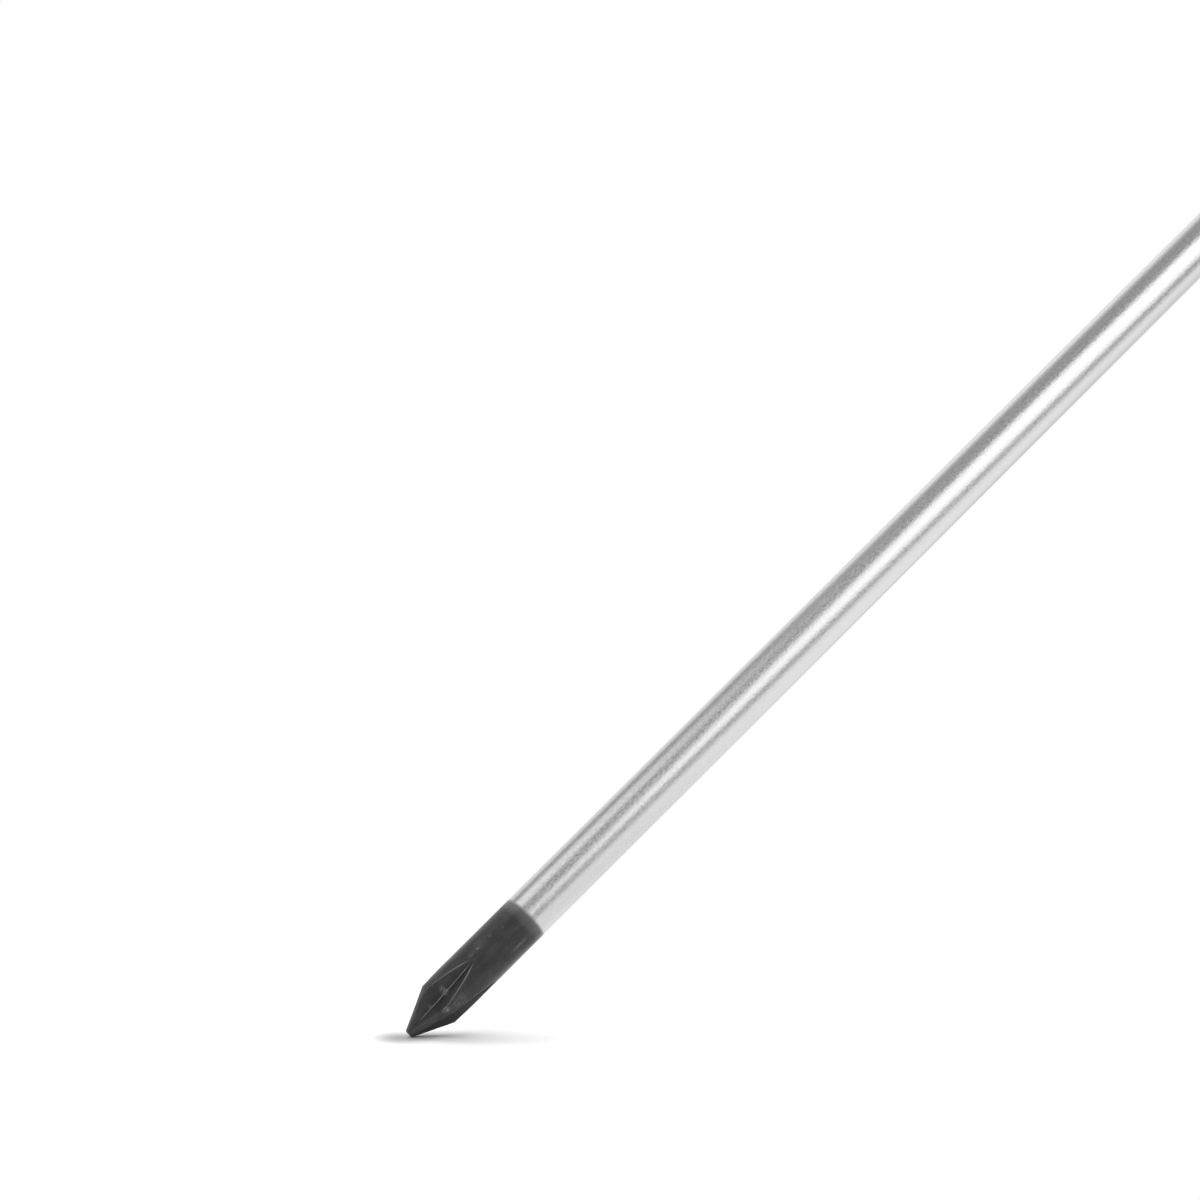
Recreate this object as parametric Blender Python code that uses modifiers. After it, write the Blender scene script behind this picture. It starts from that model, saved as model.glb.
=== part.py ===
"""Cross-head screwdriver: a round steel blade with a milled cross point, in a two-component handle.

The tool is drawn along its own Z axis, with the point's end at zero and the handle above it.
The parent empty then lays that axis along world +X, with the point at the origin.
"""

import math

import bmesh
import bpy
from mathutils import Matrix

MM = 0.001

# Blade: the bar, its point and the tang that the handle holds
SHANK_DIAMETER = 6.0 * MM
BLADE_LENGTH = 200.0 * MM
POINT_HALF_ANGLE = math.radians(26.5)
POINT_FLAT_DIAMETER = 1.1 * MM
BLACKENED_LENGTH = 20.0 * MM
FLUTE_COUNT = 4
FLUTE_ANGLE = math.radians(104.0)
FLUTE_ROOT_RADIUS = 0.46 * MM
FLUTE_RISE = math.radians(5.75)
FLUTE_CLOCK = math.radians(6.0)
FLUTE_WHEEL_RADIUS = 56.0 * MM
TANG_LENGTH = 64.0 * MM
TANG_CHAMFER = 0.8 * MM
WING_SPAN = 8.4 * MM
WING_LENGTH = 12.0 * MM
WING_THICKNESS = 2.4 * MM
WING_ROUND = 0.7 * MM
WING_SETBACKS = (6.0 * MM, 26.0 * MM)

# Handle outline: distance behind the nose, radius and slope of the surface at each named station
HANDLE_LENGTH = 110.0 * MM
NOSE_RADIUS = 8.2 * MM
NOSE_SLOPE = 0.75
GUARD_AT = 9.0 * MM
GUARD_RADIUS = 11.8 * MM
WAIST_AT = 26.0 * MM
WAIST_RADIUS = 9.8 * MM
BELLY_TO_BUTT = 40.0 * MM
BELLY_RADIUS = 16.5 * MM
BUTT_RADIUS = 13.0 * MM
BUTT_SLOPE = -0.22

# Soft sleeve moulded round the core, and the lips that anchor it
GUARD_TO_SLEEVE = 5.0 * MM
TAIL_LENGTH = 7.5 * MM
SLEEVE_WALL = 2.2 * MM
ANCHOR_SETBACK = 4.0 * MM
ANCHOR_WIDTH = 3.0 * MM
ANCHOR_DEPTH = 1.1 * MM

# Grip rings, shallow grooves round the sleeve at the finger waist
RING_COUNT = 5
RING_SETBACK = 4.4 * MM
RING_PITCH = 2.4 * MM
RING_DEPTH = 0.4 * MM
RING_WIDTH = 1.2 * MM
RING_FLOOR = 0.4 * MM

# Finger flutes along the handle, and the leaf-shaped lands of core that show through the sleeve in them
GRIP_FLUTE_COUNT = 6
GRIP_FLUTE_RADIUS = 9.0 * MM
GRIP_FLUTE_DEPTH = 1.4 * MM
WAIST_TO_FLUTE = 4.0 * MM
FLUTE_TO_TAIL = 1.0 * MM
LAND_FRONT_SETBACK = 8.0 * MM
LAND_REAR_SETBACK = 5.0 * MM
LAND_WIDTH = 5.2 * MM
LAND_SINK = 0.25 * MM
LAND_ROOT_RADIUS = 6.0 * MM

# End cap and the spigot that plugs it into the core
CAP_LENGTH = 4.5 * MM
CAP_ROUND = 2.2 * MM
CAP_FACE_RADIUS = 8.4 * MM
CAP_GROOVE_DEPTH = 0.5 * MM
SPIGOT_RADIUS = 7.0 * MM
SPIGOT_LENGTH = 9.0 * MM
SPIGOT_BEAD = 0.4 * MM
SPIGOT_BEAD_WIDTH = 1.6 * MM

# Clearance between neighbouring pieces, small edge breaks and facet counts
FIT_GAP = 0.3 * MM
EDGE_BREAK = 0.4 * MM
MERGE_DISTANCE = 1e-6
OVERCUT = 2.0 * MM
TURNED_STEPS = 42
BLADE_STEPS = 48
WHEEL_STEPS = 240
OUTLINE_STEP = 5.5 * MM
NOSE_STEP = 2.0 * MM
ARC_POINTS = 5
LEAF_POINTS = 24
FLUTE_TUBE_SIDES = 32
SMOOTH_ANGLE = math.radians(32.0)

# Stations along the handle that follow from the sizes above
BELLY_AT = HANDLE_LENGTH - BELLY_TO_BUTT
SLEEVE_START = GUARD_AT + GUARD_TO_SLEEVE
SLEEVE_END = HANDLE_LENGTH - CAP_LENGTH - TAIL_LENGTH
GRIP_FLUTE_START = WAIST_AT + WAIST_TO_FLUTE
GRIP_FLUTE_END = SLEEVE_END - FLUTE_TO_TAIL
LAND_START = GRIP_FLUTE_START + LAND_FRONT_SETBACK
LAND_END = GRIP_FLUTE_END - LAND_REAR_SETBACK

HANDLE_STATIONS = (
    (0.0, NOSE_RADIUS, NOSE_SLOPE),
    (GUARD_AT, GUARD_RADIUS, 0.0),
    (WAIST_AT, WAIST_RADIUS, 0.0),
    (BELLY_AT, BELLY_RADIUS, 0.0),
    (HANDLE_LENGTH, BUTT_RADIUS, BUTT_SLOPE),
)


def clear_scene():
    for leftover in list(bpy.data.objects):
        bpy.data.objects.remove(leftover, do_unlink=True)


def new_collection(name):
    collection = bpy.data.collections.new(name)
    bpy.context.scene.collection.children.link(collection)
    return collection


def new_material(name, colour, roughness, metallic):
    material = bpy.data.materials.new(name)
    material.use_nodes = True
    shader = material.node_tree.nodes["Principled BSDF"]
    shader.inputs["Base Color"].default_value = (*colour, 1.0)
    shader.inputs["Roughness"].default_value = roughness
    shader.inputs["Metallic"].default_value = metallic
    return material


def handle_radius(behind_nose):
    """Radius of the handle's outline, a cubic between each pair of stations."""
    pairs = list(zip(HANDLE_STATIONS, HANDLE_STATIONS[1:]))
    pair = next((p for p in pairs if behind_nose <= p[1][0]), pairs[-1])
    (start, start_radius, start_slope), (end, end_radius, end_slope) = pair
    span = end - start
    t = (behind_nose - start) / span
    blend = t * t * (3.0 - 2.0 * t)
    swing = start_slope * t * (1.0 - t) ** 2 - end_slope * t * t * (1.0 - t)
    return start_radius + (end_radius - start_radius) * blend + span * swing


def stations_between(start, end, step=OUTLINE_STEP):
    """Evenly spaced distances behind the nose, both ends included."""
    count = max(1, math.ceil((end - start) / step))
    return [start + (end - start) * i / count for i in range(count + 1)]


def outline_between(start, end, inset=0.0, step=OUTLINE_STEP):
    """(radius, height) points on the handle's outline, from the nose side to the butt side."""
    return [(handle_radius(u) - inset, BLADE_LENGTH + u) for u in stations_between(start, end, step)]


def arc(centre, radius, start, end):
    """(radius, height) points on an arc of a turned profile, in degrees from the radial direction."""
    turns = [math.radians(start + (end - start) * i / ARC_POINTS) for i in range(ARC_POINTS + 1)]
    return [(centre[0] + radius * math.cos(t), centre[1] + radius * math.sin(t)) for t in turns]


def add_object(name, mesh, collection, parent):
    made = bpy.data.objects.new(name, mesh)
    collection.objects.link(made)
    made.parent = parent
    return made


def turn(name, profile, collection, parent, steps=TURNED_STEPS):
    """A solid of revolution: its (radius, height) points run down the outside, from top to bottom."""
    mesh = bpy.data.meshes.new(name)
    points = [(radius, 0.0, height) for radius, height in profile]
    mesh.from_pydata(points, [(i, i + 1) for i in range(len(points) - 1)], [])
    turned = add_object(name, mesh, collection, parent)
    turned.rotation_euler.z = math.pi / steps
    screw = turned.modifiers.new("turn", "SCREW")
    screw.axis = "Z"
    screw.angle = math.tau
    screw.steps = steps
    screw.render_steps = steps
    screw.use_merge_vertices = True
    screw.merge_threshold = MERGE_DISTANCE
    screw.use_smooth_shade = True
    return turned


def combine(target, tool, operation):
    """A Boolean that stays on the target as a modifier."""
    boolean = target.modifiers.new(operation.lower() + "_" + tool.name, "BOOLEAN")
    boolean.operation = operation
    boolean.solver = "EXACT"
    boolean.object = tool


def hide_helper(helper):
    helper.hide_render = True
    helper.display_type = "WIRE"


def settle(piece):
    """Turns the piece's modifiers into its own mesh, welds its cuts and keeps real corners sharp."""
    graph = bpy.context.evaluated_depsgraph_get()
    settled = bpy.data.meshes.new_from_object(piece.evaluated_get(graph))
    settled.name = piece.name
    piece.modifiers.clear()
    piece.data = settled
    shape = bmesh.new()
    shape.from_mesh(settled)
    bmesh.ops.remove_doubles(shape, verts=shape.verts, dist=MERGE_DISTANCE)
    bmesh.ops.dissolve_degenerate(shape, edges=shape.edges, dist=MERGE_DISTANCE)
    shape.to_mesh(settled)
    shape.free()
    settled.shade_smooth()
    settled.set_sharp_from_angle(angle=SMOOTH_ANGLE)


def plate(name, size, round_off, collection, parent):
    """A rectangular plate with rounded edges, centred on its origin."""
    mesh = bpy.data.meshes.new(name)
    shape = bmesh.new()
    bmesh.ops.create_cube(shape, size=1.0)
    bmesh.ops.scale(shape, vec=size, verts=shape.verts)
    shape.to_mesh(mesh)
    shape.free()
    made = add_object(name, mesh, collection, parent)
    bevel = made.modifiers.new("round", "BEVEL")
    bevel.width = round_off
    bevel.segments = 2
    return made


def shank_profile(clearance=0.0):
    """The bar from the end of its tang down to the point, before the flutes are milled."""
    radius = SHANK_DIAMETER / 2 + clearance
    top = BLADE_LENGTH + TANG_LENGTH + clearance
    point_radius = POINT_FLAT_DIAMETER / 2
    shoulder = (SHANK_DIAMETER / 2 - point_radius) / math.tan(POINT_HALF_ANGLE)
    return [
        (0.0, top),
        (radius - TANG_CHAMFER, top),
        (radius, top - TANG_CHAMFER),
        (radius, BLACKENED_LENGTH),
        (radius, shoulder),
        (point_radius, 0.0),
        (0.0, 0.0),
    ]


def flute_wheel(index, helpers, parent):
    """The V-edged milling wheel of one flute: deepest beyond the point's end, it runs out on the bar."""
    half_angle = FLUTE_ANGLE / 2
    depth = SHANK_DIAMETER
    face = FLUTE_WHEEL_RADIUS - depth
    half_width = depth * math.tan(half_angle)
    profile = [
        (0.0, half_width),
        (face, half_width),
        (FLUTE_WHEEL_RADIUS, 0.0),
        (face, -half_width),
        (0.0, -half_width),
    ]
    wheel = turn(f"flute_wheel_{index}", profile, helpers, parent, WHEEL_STEPS)
    clock = FLUTE_CLOCK + math.tau * index / FLUTE_COUNT
    out = FLUTE_ROOT_RADIUS + FLUTE_WHEEL_RADIUS * math.cos(FLUTE_RISE)
    beyond = FLUTE_WHEEL_RADIUS * math.sin(FLUTE_RISE)
    upright = Matrix.Rotation(math.pi / 2, 4, "X")
    place = Matrix.Translation((out, 0.0, -beyond)) @ upright
    wheel.matrix_local = Matrix.Rotation(clock, 4, "Z") @ place
    hide_helper(wheel)
    return wheel


def tang_wings(clearance, helpers, parent):
    """The ears pinched out of the tang, crossed at right angles, that keep the bar from turning."""
    wings = []
    for index, setback in enumerate(WING_SETBACKS):
        size = [WING_SPAN + 2 * clearance, WING_THICKNESS + 2 * clearance, WING_LENGTH + 2 * clearance]
        kind = "seat" if clearance else "wing"
        wing = plate(f"tang_{kind}_{index}", size, WING_ROUND, helpers, parent)
        wing.location.z = BLADE_LENGTH + TANG_LENGTH - setback - WING_LENGTH / 2
        wing.rotation_euler.z = index * math.pi / 2
        hide_helper(wing)
        wings.append(wing)
    return wings


def make_blade(parts, helpers, parent, plated, blackened):
    blade = turn("blade", shank_profile(), parts, parent, BLADE_STEPS)
    for index in range(FLUTE_COUNT):
        combine(blade, flute_wheel(index, helpers, parent), "DIFFERENCE")
    for wing in tang_wings(0.0, helpers, parent):
        combine(blade, wing, "UNION")
    settle(blade)
    blade.data.materials.clear()
    blade.data.materials.append(plated)
    blade.data.materials.append(blackened)
    for face in blade.data.polygons:
        face.material_index = int(face.center.z < BLACKENED_LENGTH)
    return blade


def sleeve_bore(clearance=0.0):
    """(radius, height) points of the surface between core and sleeve, from the nose to the butt.

    The core takes the clearance off this line. The sleeve's lips reach into its two anchor grooves.
    """
    inset = SLEEVE_WALL + clearance
    first = SLEEVE_START + ANCHOR_SETBACK
    last = SLEEVE_END - ANCHOR_SETBACK
    points = outline_between(SLEEVE_START - clearance, first - clearance, inset)
    for start, end in ((first, first + ANCHOR_WIDTH), (last - ANCHOR_WIDTH, last)):
        if start > first:
            points += outline_between(first + ANCHOR_WIDTH + clearance, start - clearance, inset)
        points += outline_between(start - clearance, end + clearance, inset + ANCHOR_DEPTH)
    return points + outline_between(last + clearance, SLEEVE_END + clearance, inset)


def edged(points):
    """An outline run whose two end corners are broken by a small chamfer."""
    first_radius, first_height = points[0]
    last_radius, last_height = points[-1]
    front = [(first_radius - EDGE_BREAK, first_height), (first_radius, first_height + EDGE_BREAK)]
    rear = [(last_radius, last_height - EDGE_BREAK), (last_radius - EDGE_BREAK, last_height)]
    return [*front, *points[1:-1], *rear]


def grip_flutes(name, growth, helpers, parent):
    """The finger flutes as one cutter: round bars that follow the handle's outline and dip below it."""
    cutter = bpy.data.meshes.new(name)
    shape = bmesh.new()
    reach = (GRIP_FLUTE_END - GRIP_FLUTE_START) / 2
    middle = (GRIP_FLUTE_END + GRIP_FLUTE_START) / 2
    path = []
    for u in stations_between(GRIP_FLUTE_START - OVERCUT, GRIP_FLUTE_END + OVERCUT):
        dip = GRIP_FLUTE_DEPTH * (1.0 - ((u - middle) / reach) ** 2)
        path.append((handle_radius(u) - dip + GRIP_FLUTE_RADIUS, BLADE_LENGTH + u))
    curve = bpy.data.curves.new(name + "_path", "CURVE")
    curve.dimensions = "3D"
    curve.bevel_depth = GRIP_FLUTE_RADIUS + growth
    curve.bevel_resolution = FLUTE_TUBE_SIDES // 2 - 2
    curve.use_fill_caps = True
    spline = curve.splines.new("POLY")
    spline.points.add(len(path) - 1)
    for point, (radius, height) in zip(spline.points, path):
        point.co = (radius, 0.0, height, 1.0)
    bar = add_object(name + "_bar", curve, helpers, parent)
    graph = bpy.context.evaluated_depsgraph_get()
    bar_mesh = bpy.data.meshes.new_from_object(bar.evaluated_get(graph))
    bpy.data.objects.remove(bar)
    for index in range(GRIP_FLUTE_COUNT):
        turned = bar_mesh.copy()
        turned.transform(Matrix.Rotation(math.tau * index / GRIP_FLUTE_COUNT, 4, "Z"))
        shape.from_mesh(turned)
        bpy.data.meshes.remove(turned)
    bpy.data.meshes.remove(bar_mesh)
    bmesh.ops.remove_doubles(shape, verts=shape.verts, dist=MERGE_DISTANCE)
    shape.to_mesh(cutter)
    shape.free()
    made = add_object(name, cutter, helpers, parent)
    hide_helper(made)
    return made


def leaf_outline(shrink):
    """A long ellipse with blunt ends: (across, along) points round its edge."""
    half_length = (LAND_END - LAND_START) / 2 - shrink
    half_width = LAND_WIDTH / 2 - shrink
    turns = [math.tau * (i + 0.5) / LEAF_POINTS for i in range(LEAF_POINTS)]
    return [(half_width * math.cos(t), half_length * math.sin(t)) for t in turns]


def leaf_windows(name, shrink, helpers, parent):
    """The leaf outlines pushed out radially through the sleeve, one in each flute, as one cutter."""
    reach = BELLY_RADIUS + OVERCUT
    curve = bpy.data.curves.new(name + "_outline", "CURVE")
    curve.dimensions = "2D"
    curve.fill_mode = "BOTH"
    curve.extrude = (reach - LAND_ROOT_RADIUS) / 2
    spline = curve.splines.new("POLY")
    outline = leaf_outline(shrink)
    spline.points.add(len(outline) - 1)
    for point, (across, along) in zip(spline.points, outline):
        point.co = (across, along, 0.0, 1.0)
    spline.use_cyclic_u = True
    leaf = add_object(name + "_leaf", curve, helpers, parent)
    graph = bpy.context.evaluated_depsgraph_get()
    leaf_mesh = bpy.data.meshes.new_from_object(leaf.evaluated_get(graph))
    bpy.data.objects.remove(leaf)
    stand_up = Matrix(((0, 0, 1, 0), (1, 0, 0, 0), (0, 1, 0, 0), (0, 0, 0, 1)))
    place = Matrix.Translation(
        ((reach + LAND_ROOT_RADIUS) / 2, 0.0, BLADE_LENGTH + (LAND_START + LAND_END) / 2)
    )
    shape = bmesh.new()
    for index in range(GRIP_FLUTE_COUNT):
        turned = leaf_mesh.copy()
        turned.transform(Matrix.Rotation(math.tau * index / GRIP_FLUTE_COUNT, 4, "Z") @ place @ stand_up)
        shape.from_mesh(turned)
        bpy.data.meshes.remove(turned)
    bpy.data.meshes.remove(leaf_mesh)
    bmesh.ops.remove_doubles(shape, verts=shape.verts, dist=MERGE_DISTANCE)
    windows = bpy.data.meshes.new(name)
    shape.to_mesh(windows)
    shape.free()
    made = add_object(name, windows, helpers, parent)
    hide_helper(made)
    return made


def ringed_outline():
    """The sleeve's outline from its front to its rear end, with the grip rings cut into it."""
    points = []
    reached = SLEEVE_START
    for index in range(RING_COUNT):
        middle = SLEEVE_START + RING_SETBACK + index * RING_PITCH
        points += outline_between(reached, middle - RING_WIDTH / 2)
        points += outline_between(middle - RING_FLOOR / 2, middle + RING_FLOOR / 2, RING_DEPTH)
        reached = middle + RING_WIDTH / 2
    return points + outline_between(reached, SLEEVE_END)


def make_sleeve(parts, helpers, parent, material):
    outside = edged(ringed_outline())
    axis_start = (0.0, outside[0][1])
    axis_end = (0.0, outside[-1][1])
    sleeve = turn("grip_sleeve", [axis_end, *reversed(outside), axis_start], parts, parent)
    combine(sleeve, grip_flutes("finger_flutes", 0.0, helpers, parent), "DIFFERENCE")
    bore = sleeve_bore()
    bore_end = [(bore[-1][0], bore[-1][1] + OVERCUT), (0.0, bore[-1][1] + OVERCUT)]
    bore_start = [(0.0, bore[0][1] - OVERCUT), (bore[0][0], bore[0][1] - OVERCUT)]
    hollow = turn("sleeve_hollow", [*reversed(bore_start + bore + bore_end)], helpers, parent)
    hide_helper(hollow)
    combine(sleeve, hollow, "DIFFERENCE")
    combine(sleeve, leaf_windows("sleeve_windows", 0.0, helpers, parent), "DIFFERENCE")
    settle(sleeve)
    sleeve.data.materials.append(material)
    return sleeve


def make_lands(helpers, parent):
    """The leaf-shaped pads of core that fill the sleeve's windows, sunk a little below its surface."""
    envelope = outline_between(LAND_START - OVERCUT, LAND_END + OVERCUT, LAND_SINK)
    profile = [(0.0, envelope[-1][1]), *reversed(envelope), (0.0, envelope[0][1])]
    lands = turn("core_lands", profile, helpers, parent)
    combine(lands, grip_flutes("land_flutes", LAND_SINK, helpers, parent), "DIFFERENCE")
    combine(lands, leaf_windows("land_leaves", FIT_GAP, helpers, parent), "INTERSECT")
    settle(lands)
    hide_helper(lands)
    return lands


def make_tang_cavity(helpers, parent):
    """The room that the tang and its wings take up in the core."""
    cavity = turn("tang_cavity", shank_profile(FIT_GAP), helpers, parent, BLADE_STEPS)
    for seat in tang_wings(FIT_GAP, helpers, parent):
        combine(cavity, seat, "UNION")
    settle(cavity)
    hide_helper(cavity)
    return cavity


def make_core(parts, helpers, parent, material):
    nose = edged(outline_between(0.0, SLEEVE_START - FIT_GAP, step=NOSE_STEP))
    tail_end = HANDLE_LENGTH - CAP_LENGTH - FIT_GAP
    tail = edged(outline_between(SLEEVE_END + FIT_GAP, tail_end, step=NOSE_STEP))
    outside = [*nose, *sleeve_bore(FIT_GAP), *tail]
    profile = [(0.0, outside[-1][1]), *reversed(outside), (0.0, outside[0][1])]
    core = turn("handle_core", profile, parts, parent)
    socket = turn("spigot_socket", spigot_profile(FIT_GAP, OVERCUT), helpers, parent)
    hide_helper(socket)
    combine(core, socket, "DIFFERENCE")
    combine(core, make_tang_cavity(helpers, parent), "DIFFERENCE")
    combine(core, make_lands(helpers, parent), "UNION")
    settle(core)
    core.data.materials.append(material)
    return core


def spigot_profile(clearance, overrun):
    """The cap's plug with its retaining bead, from the cap's face down into the core."""
    face = BLADE_LENGTH + HANDLE_LENGTH - CAP_LENGTH
    radius = SPIGOT_RADIUS + clearance
    bottom = face - SPIGOT_LENGTH - clearance
    bead = face - SPIGOT_LENGTH / 2
    half_bead = SPIGOT_BEAD_WIDTH / 2
    return [
        (0.0, face + overrun),
        (radius, face + overrun),
        (radius, bead + half_bead),
        (radius + SPIGOT_BEAD, bead),
        (radius, bead - half_bead),
        (radius, bottom + EDGE_BREAK),
        (radius - EDGE_BREAK, bottom),
        (0.0, bottom),
    ]


def make_cap(parts, parent, material):
    """The plug that closes the butt: a flat face in a turned groove, a rounded rim and the spigot."""
    end = BLADE_LENGTH + HANDLE_LENGTH
    face = end - CAP_LENGTH
    rim_radius = handle_radius(HANDLE_LENGTH - CAP_LENGTH)
    crown_radius = BUTT_RADIUS - CAP_ROUND
    crown = arc((crown_radius, end - CAP_ROUND), CAP_ROUND, 90.0, 0.0)
    groove = [
        (CAP_FACE_RADIUS, end),
        (CAP_FACE_RADIUS + CAP_GROOVE_DEPTH, end - CAP_GROOVE_DEPTH),
        (CAP_FACE_RADIUS + 2 * CAP_GROOVE_DEPTH, end),
    ]
    rim = [(rim_radius, face + EDGE_BREAK), (rim_radius - EDGE_BREAK, face)]
    spigot = spigot_profile(0.0, 0.0)[1:]
    cap = turn("end_cap", [(0.0, end), *groove, *crown, *rim, *spigot], parts, parent)
    settle(cap)
    cap.data.materials.append(material)
    return cap


def main():
    clear_scene()
    parts = new_collection("cross_head_screwdriver")
    helpers = new_collection("cutters")
    axis = bpy.data.objects.new("tool_axis", None)
    axis.rotation_euler.y = math.pi / 2
    parts.objects.link(axis)
    plated = new_material("satin_chrome_plate", (0.60, 0.60, 0.60), 0.28, 1.0)
    blackened = new_material("blackened_steel", (0.045, 0.045, 0.047), 0.45, 0.6)
    hard = new_material("moulded_polypropylene", (0.16, 0.17, 0.18), 0.45, 0.0)
    soft = new_material("soft_grip_elastomer", (0.022, 0.022, 0.024), 0.75, 0.0)
    make_blade(parts, helpers, axis, plated, blackened)
    make_core(parts, helpers, axis, hard)
    make_sleeve(parts, helpers, axis, soft)
    make_cap(parts, axis, hard)


main()
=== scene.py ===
# %% [markdown]
# # A cross-head screwdriver
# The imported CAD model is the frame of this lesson: it says where every piece sits and how large it is. Each
# of its four pieces gets a finer surface here, made by rule from a few sizes, and the finish of the real
# thing: plated steel, a blackened point, moulded plastic and a soft grip. The tool's axis is world +X, with
# the end of its point at the origin.

# %% Load the frame
import math

import bmesh
import bpy
from mathutils import Matrix, Vector


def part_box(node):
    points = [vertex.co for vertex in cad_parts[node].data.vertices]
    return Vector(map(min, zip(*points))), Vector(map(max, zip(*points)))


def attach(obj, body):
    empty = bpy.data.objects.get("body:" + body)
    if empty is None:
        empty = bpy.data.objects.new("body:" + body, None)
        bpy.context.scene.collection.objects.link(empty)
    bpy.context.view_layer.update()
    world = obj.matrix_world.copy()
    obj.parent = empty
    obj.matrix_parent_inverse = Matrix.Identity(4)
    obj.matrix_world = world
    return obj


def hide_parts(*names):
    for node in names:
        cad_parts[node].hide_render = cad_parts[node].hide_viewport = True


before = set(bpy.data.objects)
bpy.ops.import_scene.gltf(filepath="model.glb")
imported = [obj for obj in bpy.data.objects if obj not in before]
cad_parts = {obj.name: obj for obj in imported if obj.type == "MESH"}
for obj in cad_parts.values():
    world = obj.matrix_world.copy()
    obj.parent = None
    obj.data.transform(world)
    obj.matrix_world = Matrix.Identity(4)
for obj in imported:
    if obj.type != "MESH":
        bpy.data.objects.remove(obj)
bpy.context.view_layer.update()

MM = 0.001
for name in sorted(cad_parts):
    low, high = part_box(name)
    print(name, "from", round(low[0] / MM, 2), "to", round(high[0] / MM, 2), "mm along the tool")

# %% [markdown]
# ## Two small helpers
# Colours are written as sRGB hex values, because that is how they are picked, but shaders work in linear
# light, so one function converts them. The other adds a node with its settings and links, for shaders and
# Geometry Nodes alike, and returns the node's first live output. The longest node names get short ones.
# A Map Range node is used most of all. It takes a value, the two limits that the value comes between, and
# what those limits become, which is 0 and 1 where nothing else is given.

# %% Helpers for colours and nodes
MATH = "ShaderNodeMath"
VECTOR = "ShaderNodeVectorMath"
RANGE = "ShaderNodeMapRange"
MIX = "ShaderNodeMix"


def linear(code):
    """An sRGB hex colour as linear RGBA."""
    channels = [int(code[i:i + 2], 16) / 255 for i in (1, 3, 5)]
    return [c / 12.92 if c <= 0.04045 else ((c + 0.055) / 1.055) ** 2.4 for c in channels] + [1.0]


def add(tree, kind, inputs=(), operation=None, **settings):
    """Adds a node, sets its properties, then links or sets its inputs, by name or as a list in order."""
    node = tree.nodes.new(kind)
    if operation:
        node.operation = operation
    for key, value in settings.items():
        setattr(node, key, value)
    for key, value in inputs.items() if isinstance(inputs, dict) else enumerate(inputs):
        named = [s for s in node.inputs if s.enabled and s.name == key]
        socket = named[0] if named else node.inputs[key]
        if isinstance(value, bpy.types.NodeSocket):
            tree.links.new(value, socket)
        else:
            socket.default_value = value
    return next(s for s in node.outputs if s.enabled) if node.outputs else node


print("the grey #808080 is", round(linear("#808080")[0], 3), "in linear light")

# %% [markdown]
# ## The blade's shape
# The real blade is a drawn steel bar. Its end is turned to a cone, then a V-edged wheel mills four flutes
# that are deepest at the very end and run out along the bar, which leaves the four wings of the cross.
# Cutting wheels out of a bar with Booleans works, but leaves ragged faces. The shape follows a rule, so a
# Geometry Nodes tree makes it instead: a grid is wrapped round the axis, and each point takes the smaller of
# two radii, that of the turned bar and that of the nearest flute. A smooth minimum rounds the edges between
# them as a worn tool's edges are rounded. The other end is the tang, which the handle hides: two crossed
# pairs of ears are pinched out of it. Each part of the rule gets a function, and the tree joins them.

# %% Rows along the bar
BAR_ROWS = 250
BAR_COLUMNS = 289
BAR_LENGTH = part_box("blade")[1][0]
POINT_RUN = 14.0 * MM
TANG_RUN = 46.0 * MM
POINT_DOME = 0.1 * MM

# Shares of the rows at which the end face, the point, the plain shank and the tang are done
FACE_ROWS = 0.03
POINT_ROWS = 0.6
SHANK_ROWS = 0.66
TANG_ROWS = 0.985


def bar_rows(tree, size, along):
    """A row's place on the axis, and the share of its radius that it keeps as the two ends close."""
    front = add(tree, RANGE, [along, 0.0, FACE_ROWS])
    rear = add(tree, RANGE, [along, TANG_ROWS, 1.0, 1.0, 0.0])
    ends = add(tree, MATH, [front, rear], "MULTIPLY")

    # Rows are close on the point, far apart on the plain shank and closer again on the tang
    shank_run = add(tree, MATH, [size["Bar Length"], POINT_RUN + TANG_RUN], "SUBTRACT")
    runs = (
        (FACE_ROWS, POINT_ROWS, POINT_RUN),
        (POINT_ROWS, SHANK_ROWS, shank_run),
        (SHANK_ROWS, TANG_ROWS, TANG_RUN),
    )
    straight = 0.0
    for first, last, length in runs:
        run = add(tree, RANGE, [along, first, last, 0.0, length])
        straight = add(tree, MATH, [run, straight], "ADD")

    # The end face is a shallow dome that is proudest at the axis
    square = add(tree, MATH, [front, 2.0], "POWER")
    gap = add(tree, MATH, [1.0, square], "SUBTRACT")
    crown = add(tree, MATH, [gap, size["Point Dome"]], "MULTIPLY")
    return add(tree, MATH, [straight, crown], "SUBTRACT"), ends


row_gap = POINT_RUN / ((POINT_ROWS - FACE_ROWS) * BAR_ROWS)
print("rows are", round(row_gap / MM, 2), "mm apart on the point")

# %% The turned bar
SHANK_RADIUS = 3.0 * MM
POINT_FLAT_RADIUS = 0.55 * MM
POINT_HALF_ANGLE = math.radians(26.5)
WING_FLARE = 0.14 * MM
WING_FLARE_END = 10.0 * MM
EDGE_SOFTNESS = 0.05 * MM


def turned_radius(tree, size, x):
    """The radius before milling: a cone, then a bar that swells slightly towards the point."""
    cone = add(tree, MATH, [x, size["Point Slope"], size["Flat Radius"]], "MULTIPLY_ADD")
    flare = add(tree, RANGE, [x, 0.0, WING_FLARE_END, size["Wing Flare"], 0.0])
    bar = add(tree, MATH, [flare, size["Shank Radius"]], "ADD")
    return add(tree, MATH, [cone, bar, size["Edge Softness"]], "SMOOTH_MIN")


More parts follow.
